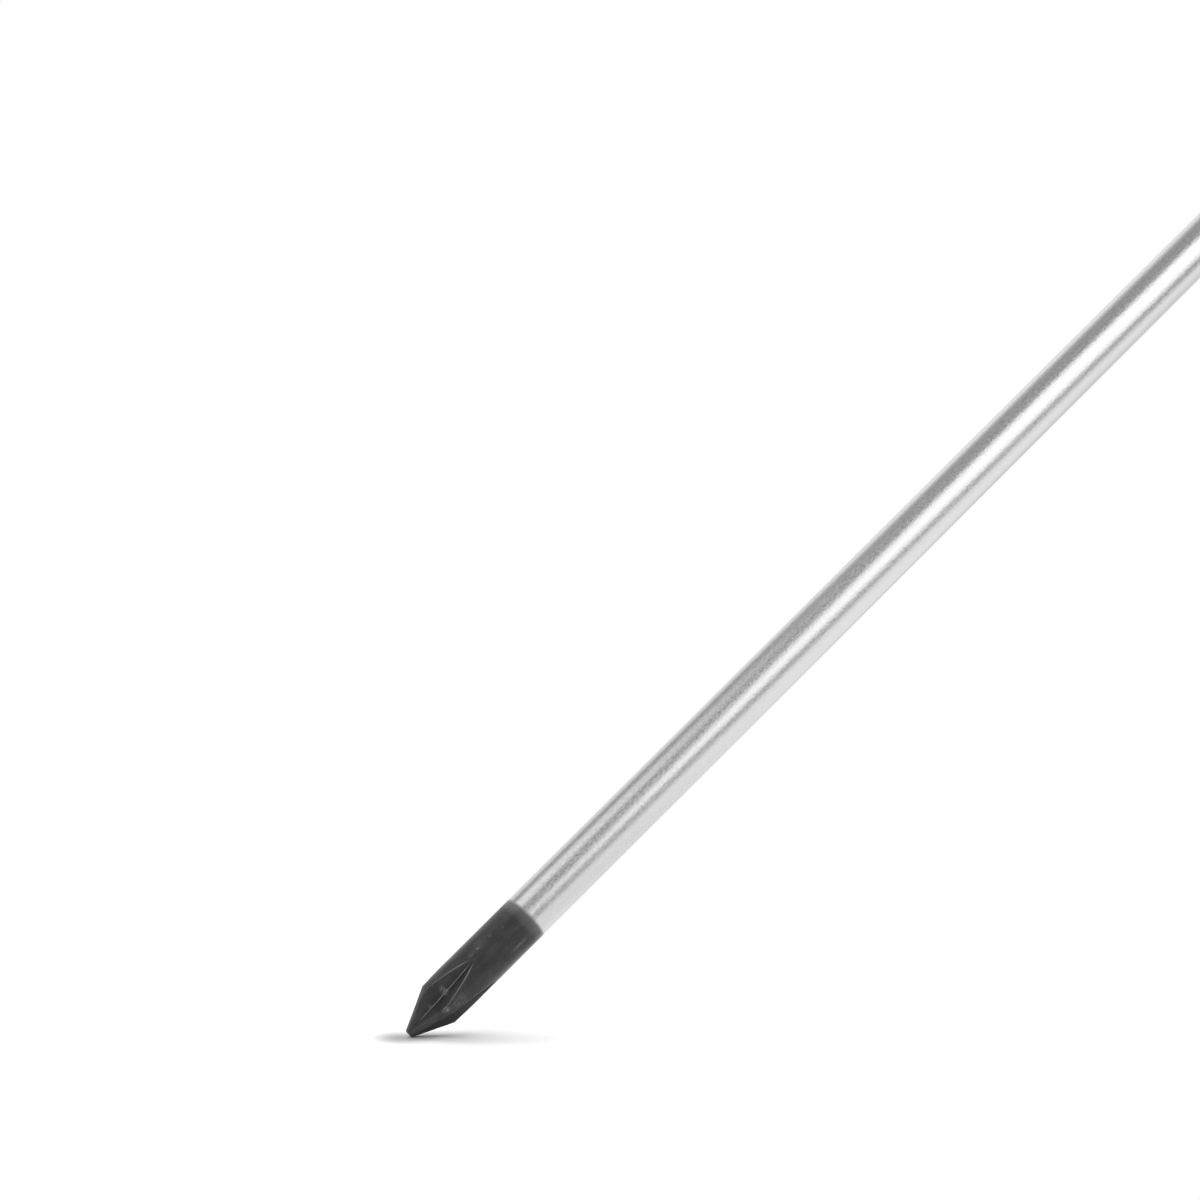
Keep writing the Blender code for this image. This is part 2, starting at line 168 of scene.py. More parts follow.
cone_length = (SHANK_RADIUS - POINT_FLAT_RADIUS) / math.tan(POINT_HALF_ANGLE)
print("cone is", round(cone_length / MM, 2), "mm long")

# %% The milled flutes
FLUTE_COUNT = 4
FLUTE_CLOCK = math.radians(6.0)
FLUTE_HALF_ANGLE = math.radians(52.0)
FLUTE_RISE = math.radians(5.75)
FLUTE_ROOT_RADIUS = 0.46 * MM
WHEEL_RADIUS = 56.0 * MM
WHEEL_SETBACK = WHEEL_RADIUS * math.sin(FLUTE_RISE)
WHEEL_HEIGHT = FLUTE_ROOT_RADIUS + WHEEL_RADIUS * math.cos(FLUTE_RISE)


def flute_root(tree, size, x):
    """The radius of a flute's root. The wheel is deepest beyond the point, so the root rises from the end."""
    past = add(tree, MATH, [x, size["Wheel Setback"]], "ADD")
    limit = add(tree, MATH, [past, size["Wheel Radius"]], "MINIMUM")
    limit_squared = add(tree, MATH, [limit, 2.0], "POWER")
    wheel_squared = add(tree, MATH, [size["Wheel Radius"], 2.0], "POWER")
    under = add(tree, MATH, [wheel_squared, limit_squared], "SUBTRACT")
    drop = add(tree, MATH, [under], "SQRT")
    return add(tree, MATH, [size["Wheel Height"], drop], "SUBTRACT")


def flute_radius(tree, size, root, away):
    """The radius at which a ray leaves the V of a flute, at an angle away from its root."""
    away_cos = add(tree, MATH, [away], "COSINE")
    away_sin = add(tree, MATH, [away], "SINE")
    open_side = add(tree, MATH, [away_cos, size["Flute Slope"]], "MULTIPLY")
    opening = add(tree, MATH, [open_side, away_sin], "SUBTRACT")
    wall = add(tree, MATH, [root, size["Flute Slope"]], "MULTIPLY")
    return add(tree, MATH, [wall, opening], "DIVIDE")


run_out = math.sqrt(WHEEL_RADIUS ** 2 - (WHEEL_HEIGHT - SHANK_RADIUS) ** 2) - WHEEL_SETBACK
print("flutes run out", round(run_out / MM, 1), "mm from the end")

# %% The ears on the tang
EAR_HALF_SPAN = 4.2 * MM
EAR_HALF_THICKNESS = 1.2 * MM
EAR_LENGTH = 12.0 * MM
EAR_ENDS = (258.0 * MM, 238.0 * MM)
EAR_RAMP = 1.5 * MM
EAR_FADE = (EAR_LENGTH / 2, EAR_LENGTH / 2 - EAR_RAMP)
EAR_SOFTNESS = 0.6 * MM
LEAST_SHARE = 1e-3


def with_ears(tree, size, x, turn_sin, turn_cos, radius):
    """The radius with two crossed pairs of ears, pinched out so that the tang cannot turn in the handle."""
    for ear_end, flat, thin in zip(EAR_ENDS, (turn_cos, turn_sin), (turn_sin, turn_cos)):
        reach = []
        for half, share in (("Ear Half Thickness", thin), ("Ear Half Span", flat)):
            plain = add(tree, MATH, [share], "ABSOLUTE")
            safe = add(tree, MATH, [plain, LEAST_SHARE], "MAXIMUM")
            reach.append(add(tree, MATH, [size[half], safe], "DIVIDE"))
        ear = add(tree, MATH, [reach[0], reach[1], EAR_SOFTNESS], "SMOOTH_MIN")
        middle = add(tree, MATH, [x, ear_end - EAR_LENGTH / 2], "SUBTRACT")
        off = add(tree, MATH, [middle], "ABSOLUTE")
        fade = add(tree, RANGE, [off, *EAR_FADE], interpolation_type="SMOOTHSTEP")
        rise = add(tree, MATH, [ear, radius], "SUBTRACT")
        proud = add(tree, MATH, [rise, 0.0], "MAXIMUM")
        radius = add(tree, MATH, [proud, fade, radius], "MULTIPLY_ADD")
    return radius


print("ears stand", round((EAR_HALF_SPAN - SHANK_RADIUS) / MM, 2), "mm proud of the bar")

# %% Where the edges and roots wear and carry a painted highlight
# Width of each pale line, partly rubbed oxide and partly painted highlight, and where along the bar it begins
# and is full, in mm
WORN_AND_HIGHLIGHT_LINES = {"edge": (0.2, 3.8, 4.7), "root": (0.14, 0.6, 2.6)}
PALE_LINES_END = (10.0 * MM, 12.5 * MM, 1.0, 0.0)


def wear_and_highlight_shares(tree, x, turned, flute, away, root):
    """Shares of rubbed oxide and painted highlight on the edges, where the two radii meet, and on the roots,
    where the angle is zero.
    """
    apart = add(tree, MATH, [turned, flute], "SUBTRACT")
    distances = {
        "edge": add(tree, MATH, [apart], "ABSOLUTE"),
        "root": add(tree, MATH, [away, root], "MULTIPLY"),
    }
    inside = add(tree, RANGE, [x, *PALE_LINES_END])
    shares = {}
    for line, (width, start, full) in WORN_AND_HIGHLIGHT_LINES.items():
        near = add(tree, RANGE, [distances[line], 0.0, width * MM, 1.0, 0.0])
        begun = add(tree, RANGE, [x, start * MM, full * MM])
        on_bar = add(tree, MATH, [near, begun], "MULTIPLY")
        shares[line] = add(tree, MATH, [on_bar, inside], "MULTIPLY")
    return shares


for line, (width, start, full) in WORN_AND_HIGHLIGHT_LINES.items():
    print("the worn", line, "is", width, "mm wide from", full, "mm on")

# %% Start and end of a Geometry Nodes tree
def new_tree(name, kinds):
    """A tree with inputs of the given kinds, and the sockets that they come from."""
    tree = bpy.data.node_groups.new(name, "GeometryNodeTree")
    for label, kind in kinds.items():
        tree.interface.new_socket(name=label, in_out="INPUT", socket_type="NodeSocket" + kind)
    tree.interface.new_socket(name="Geometry", in_out="OUTPUT", socket_type="NodeSocketGeometry")
    return tree, add(tree, "NodeGroupInput").node.outputs


def sent_out(tree, mesh, steps):
    """The tree with its mesh sent through the last steps, one node each, to the output."""
    for kind, given in steps:
        mesh = add(tree, "GeometryNode" + kind, {"Geometry": mesh, **given})
    add(tree, "NodeGroupOutput", {"Geometry": mesh})
    print(tree.name, "has", len(tree.nodes), "nodes")
    return tree


# %% Geometry Nodes tree of the milled bar
WELD = 1e-6
BAR_SIZES = {
    "Bar Length": BAR_LENGTH,
    "Shank Radius": SHANK_RADIUS,
    "Flat Radius": POINT_FLAT_RADIUS,
    "Point Slope": math.tan(POINT_HALF_ANGLE),
    "Point Dome": POINT_DOME,
    "Flute Slope": math.tan(FLUTE_HALF_ANGLE),
    "Flute Clock": FLUTE_CLOCK,
    "Wheel Radius": WHEEL_RADIUS,
    "Wheel Setback": WHEEL_SETBACK,
    "Wheel Height": WHEEL_HEIGHT,
    "Wing Flare": WING_FLARE,
    "Edge Softness": EDGE_SOFTNESS,
    "Ear Half Span": EAR_HALF_SPAN,
    "Ear Half Thickness": EAR_HALF_THICKNESS,
}


def bar_tree(material):
    """The tree of the whole bar, from the flat grid to the finished mesh."""
    tree, size = new_tree("milled_cross_bar", dict.fromkeys(BAR_SIZES, "Float"))

    # The grid is one metre square about its middle. Its turn runs backwards round the axis, which makes the
    # faces point outwards
    mesh = add(tree, "GeometryNodeMeshGrid", {"Vertices X": BAR_ROWS, "Vertices Y": BAR_COLUMNS})
    place = add(tree, "ShaderNodeSeparateXYZ", [add(tree, "GeometryNodeInputPosition")]).node.outputs
    along = add(tree, MATH, [place["X"], 0.5], "ADD")
    turn = add(tree, RANGE, [place["Y"], -0.5, 0.5, math.tau, 0.0])
    turn_sin = add(tree, MATH, [turn], "SINE")
    turn_cos = add(tree, MATH, [turn], "COSINE")

    # Ping-pong gives the angle to the nearest flute
    clocked = add(tree, MATH, [turn, size["Flute Clock"]], "SUBTRACT")
    away = add(tree, MATH, [clocked, math.pi / FLUTE_COUNT], "PINGPONG")
    x, ends = bar_rows(tree, size, along)
    turned = turned_radius(tree, size, x)
    root = flute_root(tree, size, x)
    flute = flute_radius(tree, size, root, away)
    milled = add(tree, MATH, [turned, flute, size["Edge Softness"]], "SMOOTH_MIN")
    eared = with_ears(tree, size, x, turn_sin, turn_cos, milled)

    radius = add(tree, MATH, [eared, ends], "MULTIPLY")
    y = add(tree, MATH, [radius, turn_sin], "MULTIPLY")
    up = add(tree, MATH, [radius, turn_cos], "MULTIPLY")
    z = add(tree, MATH, [up, -1.0], "MULTIPLY")
    wrapped = add(tree, "ShaderNodeCombineXYZ", {"X": x, "Y": y, "Z": z})

    # The lines of wear and painted highlight go into two attributes, which the material reads
    shares = wear_and_highlight_shares(tree, x, turned, flute, away, root)
    steps = [("StoreNamedAttribute", {"Name": line, "Value": share}) for line, share in shares.items()]
    steps += [
        ("SetPosition", {"Position": wrapped}),
        ("MergeByDistance", {"Distance": WELD}),
        ("SetShadeSmooth", {"Shade Smooth": True}),
        ("RealizeInstances", {}),
        ("SetMaterial", {"Material": material}),
    ]
    return sent_out(tree, mesh, steps)


# %% [markdown]
# ## The blade's finish
# The bar is chrome vanadium steel under a satin chrome plate. Grinding along the bar before plating leaves
# fine straight lines, so its reflections run in long bands with a slight grain. The last 20 mm are blackened:
# the plate stops there, and the dark oxide is softly glossy, a little cloudy, and pale along the edges and
# roots of the wings, partly rubbed and partly a painted highlight. An image of a real bar would give all this
# at once, but only for one side and one light, so noise patterns make it instead, on Object coordinates and
# with cells that are given in millimetres.

# %% Start of a material
def new_material(name):
    """An empty node material and its tree."""
    material = bpy.data.materials.new(name)
    material.use_nodes = True
    material.node_tree.nodes.clear()
    return material, material.node_tree


def patterned_material(name, patterns):
    """A new material with noise patterns on Object coordinates.

    A pattern is given as the size of its cells along X, Y and Z in mm, its detail and its roughness.
    """
    material, tree = new_material(name)
    spot = add(tree, "ShaderNodeTexCoord").node.outputs["Object"]
    noises = []
    for cells, detail, roughness in patterns:
        scaled = add(tree, "ShaderNodeMapping", {"Vector": spot, "Scale": [1 / (c * MM) for c in cells]})
        settings = {"Vector": scaled, "Scale": 1.0, "Detail": detail, "Roughness": roughness}
        noises.append(add(tree, "ShaderNodeTexNoise", settings))
    print(name, "starts from", len(noises), "noise patterns")
    return material, tree, noises


# %% Scuffs on the blackened point
# Each scuff is given as mm from the end, degrees round the bar, half length and half width in mm, strength
SCUFFS = (
    (16.9, 60.0, 1.8, 0.3, 0.5),
    (16.8, 0.0, 0.25, 0.2, 0.35),
    (15.0, -7.0, 0.3, 0.2, 0.35),
    (12.8, -6.0, 0.4, 0.25, 0.4),
    (11.6, -7.0, 0.6, 0.3, 0.35),
    (6.4, 2.0, 0.6, 1.1, 1.0),
    (4.0, -5.0, 0.35, 0.6, 0.5),
    (5.0, 47.0, 0.6, 0.4, 0.7),
    (5.3, 68.0, 0.6, 0.5, 0.9),
    (6.6, 56.0, 2.2, 1.1, 0.25),
)
SCUFF_CORE = 0.2
SCUFF_BREAKS = (0.35, 0.65)


def scuff_share(tree, x, round_angle, grit):
    """Share of rubbed oxide: soft ellipses on the unrolled bar, broken up by the grit."""
    round_way = add(tree, MATH, [round_angle, SHANK_RADIUS], "MULTIPLY")
    unrolled = add(tree, "ShaderNodeCombineXYZ", {"X": x, "Y": round_way})
    scuffed = 0.0
    for place, turn, half_length, half_width, strength in SCUFFS:
        centre = (place * MM, math.radians(turn) * SHANK_RADIUS, 0)
        reach = (half_length * MM, half_width * MM, MM)
        offset = add(tree, VECTOR, [unrolled, centre], "SUBTRACT")
        ratio = add(tree, VECTOR, [offset, reach], "DIVIDE")
        distance = add(tree, VECTOR, [ratio], "LENGTH")
        mark = add(tree, RANGE, [distance, SCUFF_CORE, 1.0, strength, 0.0])
        scuffed = add(tree, MATH, [mark, scuffed], "MAXIMUM")
    broken = add(tree, RANGE, [grit, *SCUFF_BREAKS])
    return add(tree, MATH, [scuffed, broken], "MULTIPLY")


print(len(SCUFFS), "scuffs lie on the last", max(scuff[0] for scuff in SCUFFS), "mm of the point")

# %% Colour of the blackened point
BLACKENED_LENGTH = 20.0 * MM
THINNING_WAVER = 0.9 * MM
OXIDE_TONE = "#2a2a2b"

# Layers over the plain oxide, each with the limits that give its share and with its tone
OXIDE_LAYERS = {
    "clouds": ((0.3, 0.7), "#484849"),
    "worn end": ((0.0, 4.0 * MM, 0.25, 0.0), "#787878"),
    "thin oxide": ((BLACKENED_LENGTH - 1.0 * MM, BLACKENED_LENGTH + 0.9 * MM), "#828282"),
    "scuffs": ((0.0, 1.0), "#a0a0a0"),
    "specks": ((0.7, 0.76, 0.0, 0.5), "#8c8c8c"),
    # The pale lines along edges and roots are partly rubbed oxide and partly painted highlight
    "rubbed and highlight lines": ((0.45, 0.95), "#9c9c9c"),
}


def oxide_colour(tree, x, round_angle, cloud, grit):
    """Dark oxide that is cloudy, worn at the end, thin towards the plate, scuffed, specked, and pale along
    edges and roots, partly rubbed and partly painted highlight.
    """
    # Pale lines on edges and roots: partly rubbed oxide, partly painted highlight
    rubbed = 0.0
    for line in WORN_AND_HIGHLIGHT_LINES:
        worn = add(tree, "ShaderNodeAttribute", attribute_name=line).node.outputs["Fac"]
        rubbed = add(tree, MATH, [worn, rubbed], "MAXIMUM")
    sources = {
        "clouds": cloud,
        "worn end": x,
        "thin oxide": add(tree, MATH, [cloud, THINNING_WAVER, x], "MULTIPLY_ADD"),
        "scuffs": scuff_share(tree, x, round_angle, grit),
        "specks": grit,
        "rubbed and highlight lines": rubbed,
    }
    colour = linear(OXIDE_TONE)
    for layer, (limits, tone) in OXIDE_LAYERS.items():
        share = add(tree, RANGE, [sources[layer], *limits])
        colour = add(tree, MIX, {"Factor": share, "A": colour, "B": linear(tone)}, data_type="RGBA")
    return colour


print("the oxide has", len(OXIDE_LAYERS), "layers of wear")

# %% Gloss of the oxide and the plate
OXIDE_GLOSS = (0.3, 0.7, 0.42, 0.3)
EVEN_GLOSS = (0.3, 0.7, 0.265, 0.355)
SPECKY_GLOSS = (0.3, 0.7, 0.19, 0.43)
UPPER_SIDE = math.radians(-2.0)
UPPER_SIDE_FADE = (math.radians(8.0), math.radians(18.0), 1.0, 0.0)


def blade_gloss(tree, round_angle, cloud, pits, plated):
    """Roughness. The side that lay uppermost in the plating bath caught specks, so it varies more."""
    off_side = add(tree, MATH, [round_angle, UPPER_SIDE], "SUBTRACT")
    off_size = add(tree, MATH, [off_side], "ABSOLUTE")
    specky = add(tree, RANGE, [off_size, *UPPER_SIDE_FADE], interpolation_type="SMOOTHSTEP")
    oxide_gloss = add(tree, RANGE, [cloud, *OXIDE_GLOSS])
    even_gloss = add(tree, RANGE, [pits, *EVEN_GLOSS])
    specky_gloss = add(tree, RANGE, [pits, *SPECKY_GLOSS])
    plate_gloss = add(tree, MIX, {"Factor": specky, "A": even_gloss, "B": specky_gloss})
    return add(tree, MIX, {"Factor": plated, "A": oxide_gloss, "B": plate_gloss})


print("the specky side is", round(math.degrees(2 * UPPER_SIDE_FADE[1])), "degrees wide")

# %% Satin chrome plate with a blackened point
# Grinding lines, clouds and grit of the oxide, pits. Lines and pits are coarser than real ones, to show
BLADE_PATTERNS = (
    ((14.0, 0.2, 0.2), 3.0, 0.6),
    ((4.0, 1.6, 1.6), 4.0, 0.6),
    ((0.3, 0.3, 0.3), 2.0, 0.55),
    ((0.45, 0.25, 0.25), 2.0, 0.6),
)
PLATE_TONES = ("#d0d0d1", "#dadada")
PLATE_MOTTLE = (0.3, 0.7)
PLATE_EDGE = (BLACKENED_LENGTH, BLACKENED_LENGTH + 0.45 * MM)
PLATE_WAVER = 0.2 * MM
PITS_OVER_LINES = 3.5
BLADE_RELIEF = {"Strength": 0.45, "Distance": 0.01 * MM}
OXIDE_SPECULAR = 0.36


def plated_bar():
    """The blade's material: dielectric oxide up to the plate's wavering edge, then metal."""
    material, tree, noises = patterned_material("satin_chrome_plate_with_blackened_point", BLADE_PATTERNS)
    lines, cloud, grit, pits = noises
    spot = add(tree, "ShaderNodeTexCoord").node.outputs["Object"]
    place = add(tree, "ShaderNodeSeparateXYZ", [spot]).node.outputs
    x = place["X"]
    near_side = add(tree, MATH, [place["Y"], -1.0], "MULTIPLY")
    round_angle = add(tree, MATH, [near_side, place["Z"]], "ARCTAN2")
    waver = add(tree, MATH, [grit, PLATE_WAVER, x], "MULTIPLY_ADD")
    plated = add(tree, RANGE, [waver, *PLATE_EDGE])

    mottle = add(tree, RANGE, [pits, *PLATE_MOTTLE])
    dull, bright = (linear(tone) for tone in PLATE_TONES)
    plate = add(tree, MIX, {"Factor": mottle, "A": dull, "B": bright}, data_type="RGBA")
    oxide = oxide_colour(tree, x, round_angle, cloud, grit)
    colour = add(tree, MIX, {"Factor": plated, "A": oxide, "B": plate}, data_type="RGBA")
    gloss = blade_gloss(tree, round_angle, cloud, pits, plated)

    skin = add(tree, MATH, [pits, PITS_OVER_LINES, lines], "MULTIPLY_ADD")
    relief = add(tree, MIX, {"Factor": plated, "A": grit, "B": skin})
    bump = add(tree, "ShaderNodeBump", {"Height": relief, **BLADE_RELIEF})
    finish = {"Base Color": colour, "Roughness": gloss, "Metallic": plated, "Normal": bump}
    finish["Specular IOR Level"] = OXIDE_SPECULAR
    add(tree, "ShaderNodeOutputMaterial", {"Surface": add(tree, "ShaderNodeBsdfPrincipled", finish)})
    print(material.name, "has", len(tree.nodes), "nodes")
    return material


# %% [markdown]
# ## From tree to piece
# A Geometry Nodes modifier takes its sizes by the identifiers of the tree's inputs. The evaluated mesh is
# then copied into a plain one and the modifier is taken off, so that the piece is just its faces. A finished
# piece is handed to the frame: it stands for a CAD node, whose part it hides, and rides on the tool.

# %% Make the blade
def placed(name, data):
    """An object of that data, in the scene."""
    thing = bpy.data.objects.new(name, data)
    bpy.context.scene.collection.objects.link(thing)
    return thing


def settled(obj):
    """A plain copy of the object's evaluated mesh."""
    graph = bpy.context.evaluated_depsgraph_get()
    return bpy.data.meshes.new_from_object(obj.evaluated_get(graph))


def grown(name, mesh, tree, sizes):
    """An object whose mesh a Geometry Nodes tree makes, settled into plain faces."""
    piece = placed(name, mesh)
    modifier = piece.modifiers.new(tree.name, "NODES")
    modifier.node_group = tree
    for item in tree.interface.items_tree:
        if item.in_out == "INPUT" and item.name in sizes:
            modifier[item.identifier] = sizes[item.name]
    made = settled(piece)
    piece.modifiers.clear()
    piece.data = made
    return piece


def hand_over(piece, node):
    """The finished piece stands for a CAD node, whose part it hides, and rides on the tool."""
    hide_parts(node)
    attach(piece, "root")
    print(piece.name, "has", len(piece.data.polygons), "faces and stands for", node)


blade = grown("blade_bar", bpy.data.meshes.new("blade_bar"), bar_tree(plated_bar()), BAR_SIZES)
hand_over(blade, "blade")

# %% [markdown]
# ## The handle's outline
# The photograph ends before the handle, so it follows the plain one of the CAD model: a hard core moulded
# round the tang, a soft sleeve moulded over the core, and a cap that plugs the butt. A smooth curve through
# five stations gives its outline: nose, guard, finger waist, palm swell and butt. Six finger flutes run along
# the swell, and a leaf-shaped window in each of them shows the core. Bezier curves and Booleans could make
# it, but plain functions of the place and the angle let sleeve, window and core share one surface. All of it
# is worked out in millimetres behind the nose.

# %% Outline and finger flutes
NOSE_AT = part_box("handle_core")[0][0]
FINGER_COUNT = 6
FINGER_RADIUS = 9.0
FINGER_DIP = 1.4
FINGER_MIDDLE = 63.5
FINGER_REACH = 33.5
FINGER_SOFTNESS = 0.8
SETTLING_ROUNDS = 3
HALF_SECTOR = math.pi / FINGER_COUNT

# Place, radius and slope of each station
STATIONS = ((0, 8.2, 0.75), (9, 11.8, 0), (26, 9.8, 0), (70, 16.5, 0), (110, 13.0, -0.22))


def handle_radius(u):
    """The outline's radius: a cubic from each station to the next."""
    pairs = list(zip(STATIONS, STATIONS[1:]))
    (start, r0, slope0), (end, r1, slope1) = next((p for p in pairs if u <= p[1][0]), pairs[-1])
    t = (u - start) / (end - start)
    swing = slope0 * t * (1 - t) ** 2 - slope1 * t * t * (1 - t)
    return r0 + (r1 - r0) * t * t * (3 - 2 * t) + (end - start) * swing


def surface_radius(u, angle):
    """The outline less the nearest flute: a round bar laid along it that dips in, with softened edges."""
    body = handle_radius(u)
    centre = body + FINGER_RADIUS - FINGER_DIP * (1 - ((u - FINGER_MIDDLE) / FINGER_REACH) ** 2)
    side = centre * math.sin(angle)
    if abs(side) >= FINGER_RADIUS:
        return body
    flute = centre * math.cos(angle) - math.sqrt(FINGER_RADIUS ** 2 - side ** 2)
    near = max(FINGER_SOFTNESS - abs(body - flute), 0) / FINGER_SOFTNESS
    return min(body, flute) - near ** 3 * FINGER_SOFTNESS / 6


def angle_across(u, y):
    """The angle at which the surface lies a distance y to the side of a flute's middle."""
    angle = 0.0
    for _ in range(SETTLING_ROUNDS):
        angle = math.asin(y / surface_radius(u, angle))
    return angle


def at(u, radius, angle):
    """A place on the handle in the frame's metres. Angle 0 is straight down."""
    return (NOSE_AT + u * MM, radius * MM * math.sin(angle), -radius * MM * math.cos(angle))


swell = max(handle_radius(u) for u in range(STATIONS[-1][0] + 1))
print("handle is", round(2 * swell, 1), "mm thick at its swell")

# %% Leaf-shaped windows
LEAF_MIDDLE = 65.0
LEAF_HALF_LENGTH = 27.0
LEAF_HALF_WIDTH = 2.6


def leaf_width(u, grow):
    """Half the width of a window at u, with its outline moved out by grow."""
    share = (u - LEAF_MIDDLE) / (LEAF_HALF_LENGTH + grow)
    return (LEAF_HALF_WIDTH + grow) * math.sqrt(max(0.0, 1 - share * share))


def leaf_share(u, y, inner, outer):
    """How far a place is on its way from one leaf outline (0) to a larger one (1)."""
    levels = [
        math.hypot((u - LEAF_MIDDLE) / (LEAF_HALF_LENGTH + grow), y / (LEAF_HALF_WIDTH + grow))
        for grow in (inner, outer)
    ]
    past = max(0.0, levels[0] - 1)
    short = max(0.0, 1 - levels[1])
    return past / (past + short) if past + short else 0.0


def round_over(share, radius):
    """How deep a rounded edge lies, from its full radius at share 0 to nothing at share 1."""
    return radius * (1 - math.sqrt(max(0.0, 1 - (1 - min(share, 1)) ** 2)))


print("windows are", 2 * LEAF_HALF_LENGTH, "by", 2 * LEAF_HALF_WIDTH, "mm")

# %% [markdown]
# ## Six of everything
# Sleeve and core repeat six times round the axis. A Geometry Nodes tree sets the copies of one sector and
# welds them, so only a sixth of each piece has to be described. A last helper closes a finished piece: it
# welds what touches, turns all faces outwards, keeps true corners sharp and reports edges that are open.

# %% Geometry Nodes tree that repeats a sector
RING_SIZES = {"Count": FINGER_COUNT, "Weld Distance": WELD}


def ring_tree(name, material):
    """The tree that turns copies of a sector round the tool's axis."""
    tree, given = new_tree(name, {"Geometry": "Geometry", "Count": "Int", "Weld Distance": "Float"})
    points = add(tree, "GeometryNodeMeshLine", {"Count": given["Count"], "Offset": (0, 0, 0)})
    step = add(tree, MATH, [math.tau, given["Count"]], "DIVIDE")
    angle = add(tree, MATH, [add(tree, "GeometryNodeInputIndex"), step], "MULTIPLY")
    turn = add(tree, "ShaderNodeCombineXYZ", {"X": angle})
    copies = {"Points": points, "Instance": given["Geometry"], "Rotation": turn}
    mesh = add(tree, "GeometryNodeInstanceOnPoints", copies)
    steps = (
        ("RealizeInstances", {}),
        ("MergeByDistance", {"Distance": given["Weld Distance"]}),
        ("SetMaterial", {"Material": material}),
    )
    return sent_out(tree, mesh, steps)


print("a sector spans", round(math.degrees(2 * HALF_SECTOR)), "degrees")

# %% Close a finished piece
CORNER = math.radians(38)


def closed(piece):
    """The piece with its seams welded, slivers dissolved, faces outwards and corners sharp."""
    shape = bmesh.new()
    shape.from_mesh(piece.data)
    bmesh.ops.remove_doubles(shape, verts=shape.verts, dist=WELD)
    bmesh.ops.dissolve_degenerate(shape, edges=shape.edges, dist=WELD)
    bmesh.ops.dissolve_verts(shape, verts=[v for v in shape.verts if len(v.link_edges) == 2])
    bmesh.ops.recalc_face_normals(shape, faces=shape.faces)
    loose = sum(not edge.is_manifold for edge in shape.edges)
    shape.to_mesh(piece.data)
    shape.free()
    piece.data.shade_smooth()
    piece.data.set_sharp_from_angle(angle=CORNER)
    print(piece.name, "has", loose, "open edges")
    return piece


# %% [markdown]
# ## The soft sleeve
# The sleeve is a thermoplastic elastomer shot over the core in a second mould, 2.2 mm thick, with two lips
# inside that lock into grooves of the core. Its half sector is drawn row by row: over the outside, round the
# rolled lip of the window, and back along the bore. Subdividing a coarse cage would be quicker, but rounds
# off the rings and lets the window drift. Five shallow rings at the waist give thumb and finger a hold.

# %% Rows along the sleeve
SLEEVE_START = 14.0
SLEEVE_END = 98.0
SLEEVE_STEPS = 105
ANCHORS = ((18.0, 21.0), (91.0, 94.0))
ANCHOR_EDGE = 0.02
END_ROUND = 0.5
LIP_ROUND = 0.45
RING_PLACES = (18.4, 20.8, 23.2, 25.6, 28.0)
RING_STEP = 0.15
RING_ROWS = 4
QUARTER = [math.radians(15 * k) for k in range(7)]


def sleeve_stations():
    """Places of the rows, close together at the ends, the rings, the lips and the ends of the windows."""
    span = SLEEVE_END - SLEEVE_START
    rows = [SLEEVE_START + span * k / SLEEVE_STEPS for k in range(SLEEVE_STEPS + 1)]
    rows += [ring + RING_STEP * k for ring in RING_PLACES for k in range(-RING_ROWS, RING_ROWS + 1)]
    for k, turn in enumerate(QUARTER):
        edge = END_ROUND * (1 - math.cos(turn))
        rows += [SLEEVE_START + edge, SLEEVE_END - edge]
        window = LEAF_HALF_LENGTH * math.cos(turn / 2)
        lip = LEAF_HALF_LENGTH + LIP_ROUND * k / (len(QUARTER) - 1)
        rows += [LEAF_MIDDLE + side * reach for side in (-1, 1) for reach in (window, lip)]
    rows += [place + side * ANCHOR_EDGE for anchor in ANCHORS for place in anchor for side in (-1, 1)]
    return sorted({round(u, 2) for u in rows})


print("the sleeve has", len(sleeve_stations()), "rows")

# %% Section of the sleeve
SLEEVE_WALL = 2.2
ANCHOR_DEPTH = 1.1
CENTRE_STRIP = 0.4
RING_DEPTH = 0.4
RING_HALF_WIDTH = 0.6
OUTER_COLUMNS = 13
LIP_COLUMNS = 5
BORE_COLUMNS = 3


def hump(share):
    """A soft hump: 1 at share 0, and nothing at shares 1 and -1."""
    return 0.5 + 0.5 * math.cos(math.pi * share)


def sleeve_outside(u, angle):
    """The outside with its rings pressed in and its two ends rounded."""
    ring = min(abs(u - place) for place in RING_PLACES) / RING_HALF_WIDTH
    groove = RING_DEPTH * hump(min(ring, 1))
    to_end = min(u - SLEEVE_START, SLEEVE_END - u)
    return surface_radius(u, angle) - groove - round_over(to_end / END_ROUND, END_ROUND)


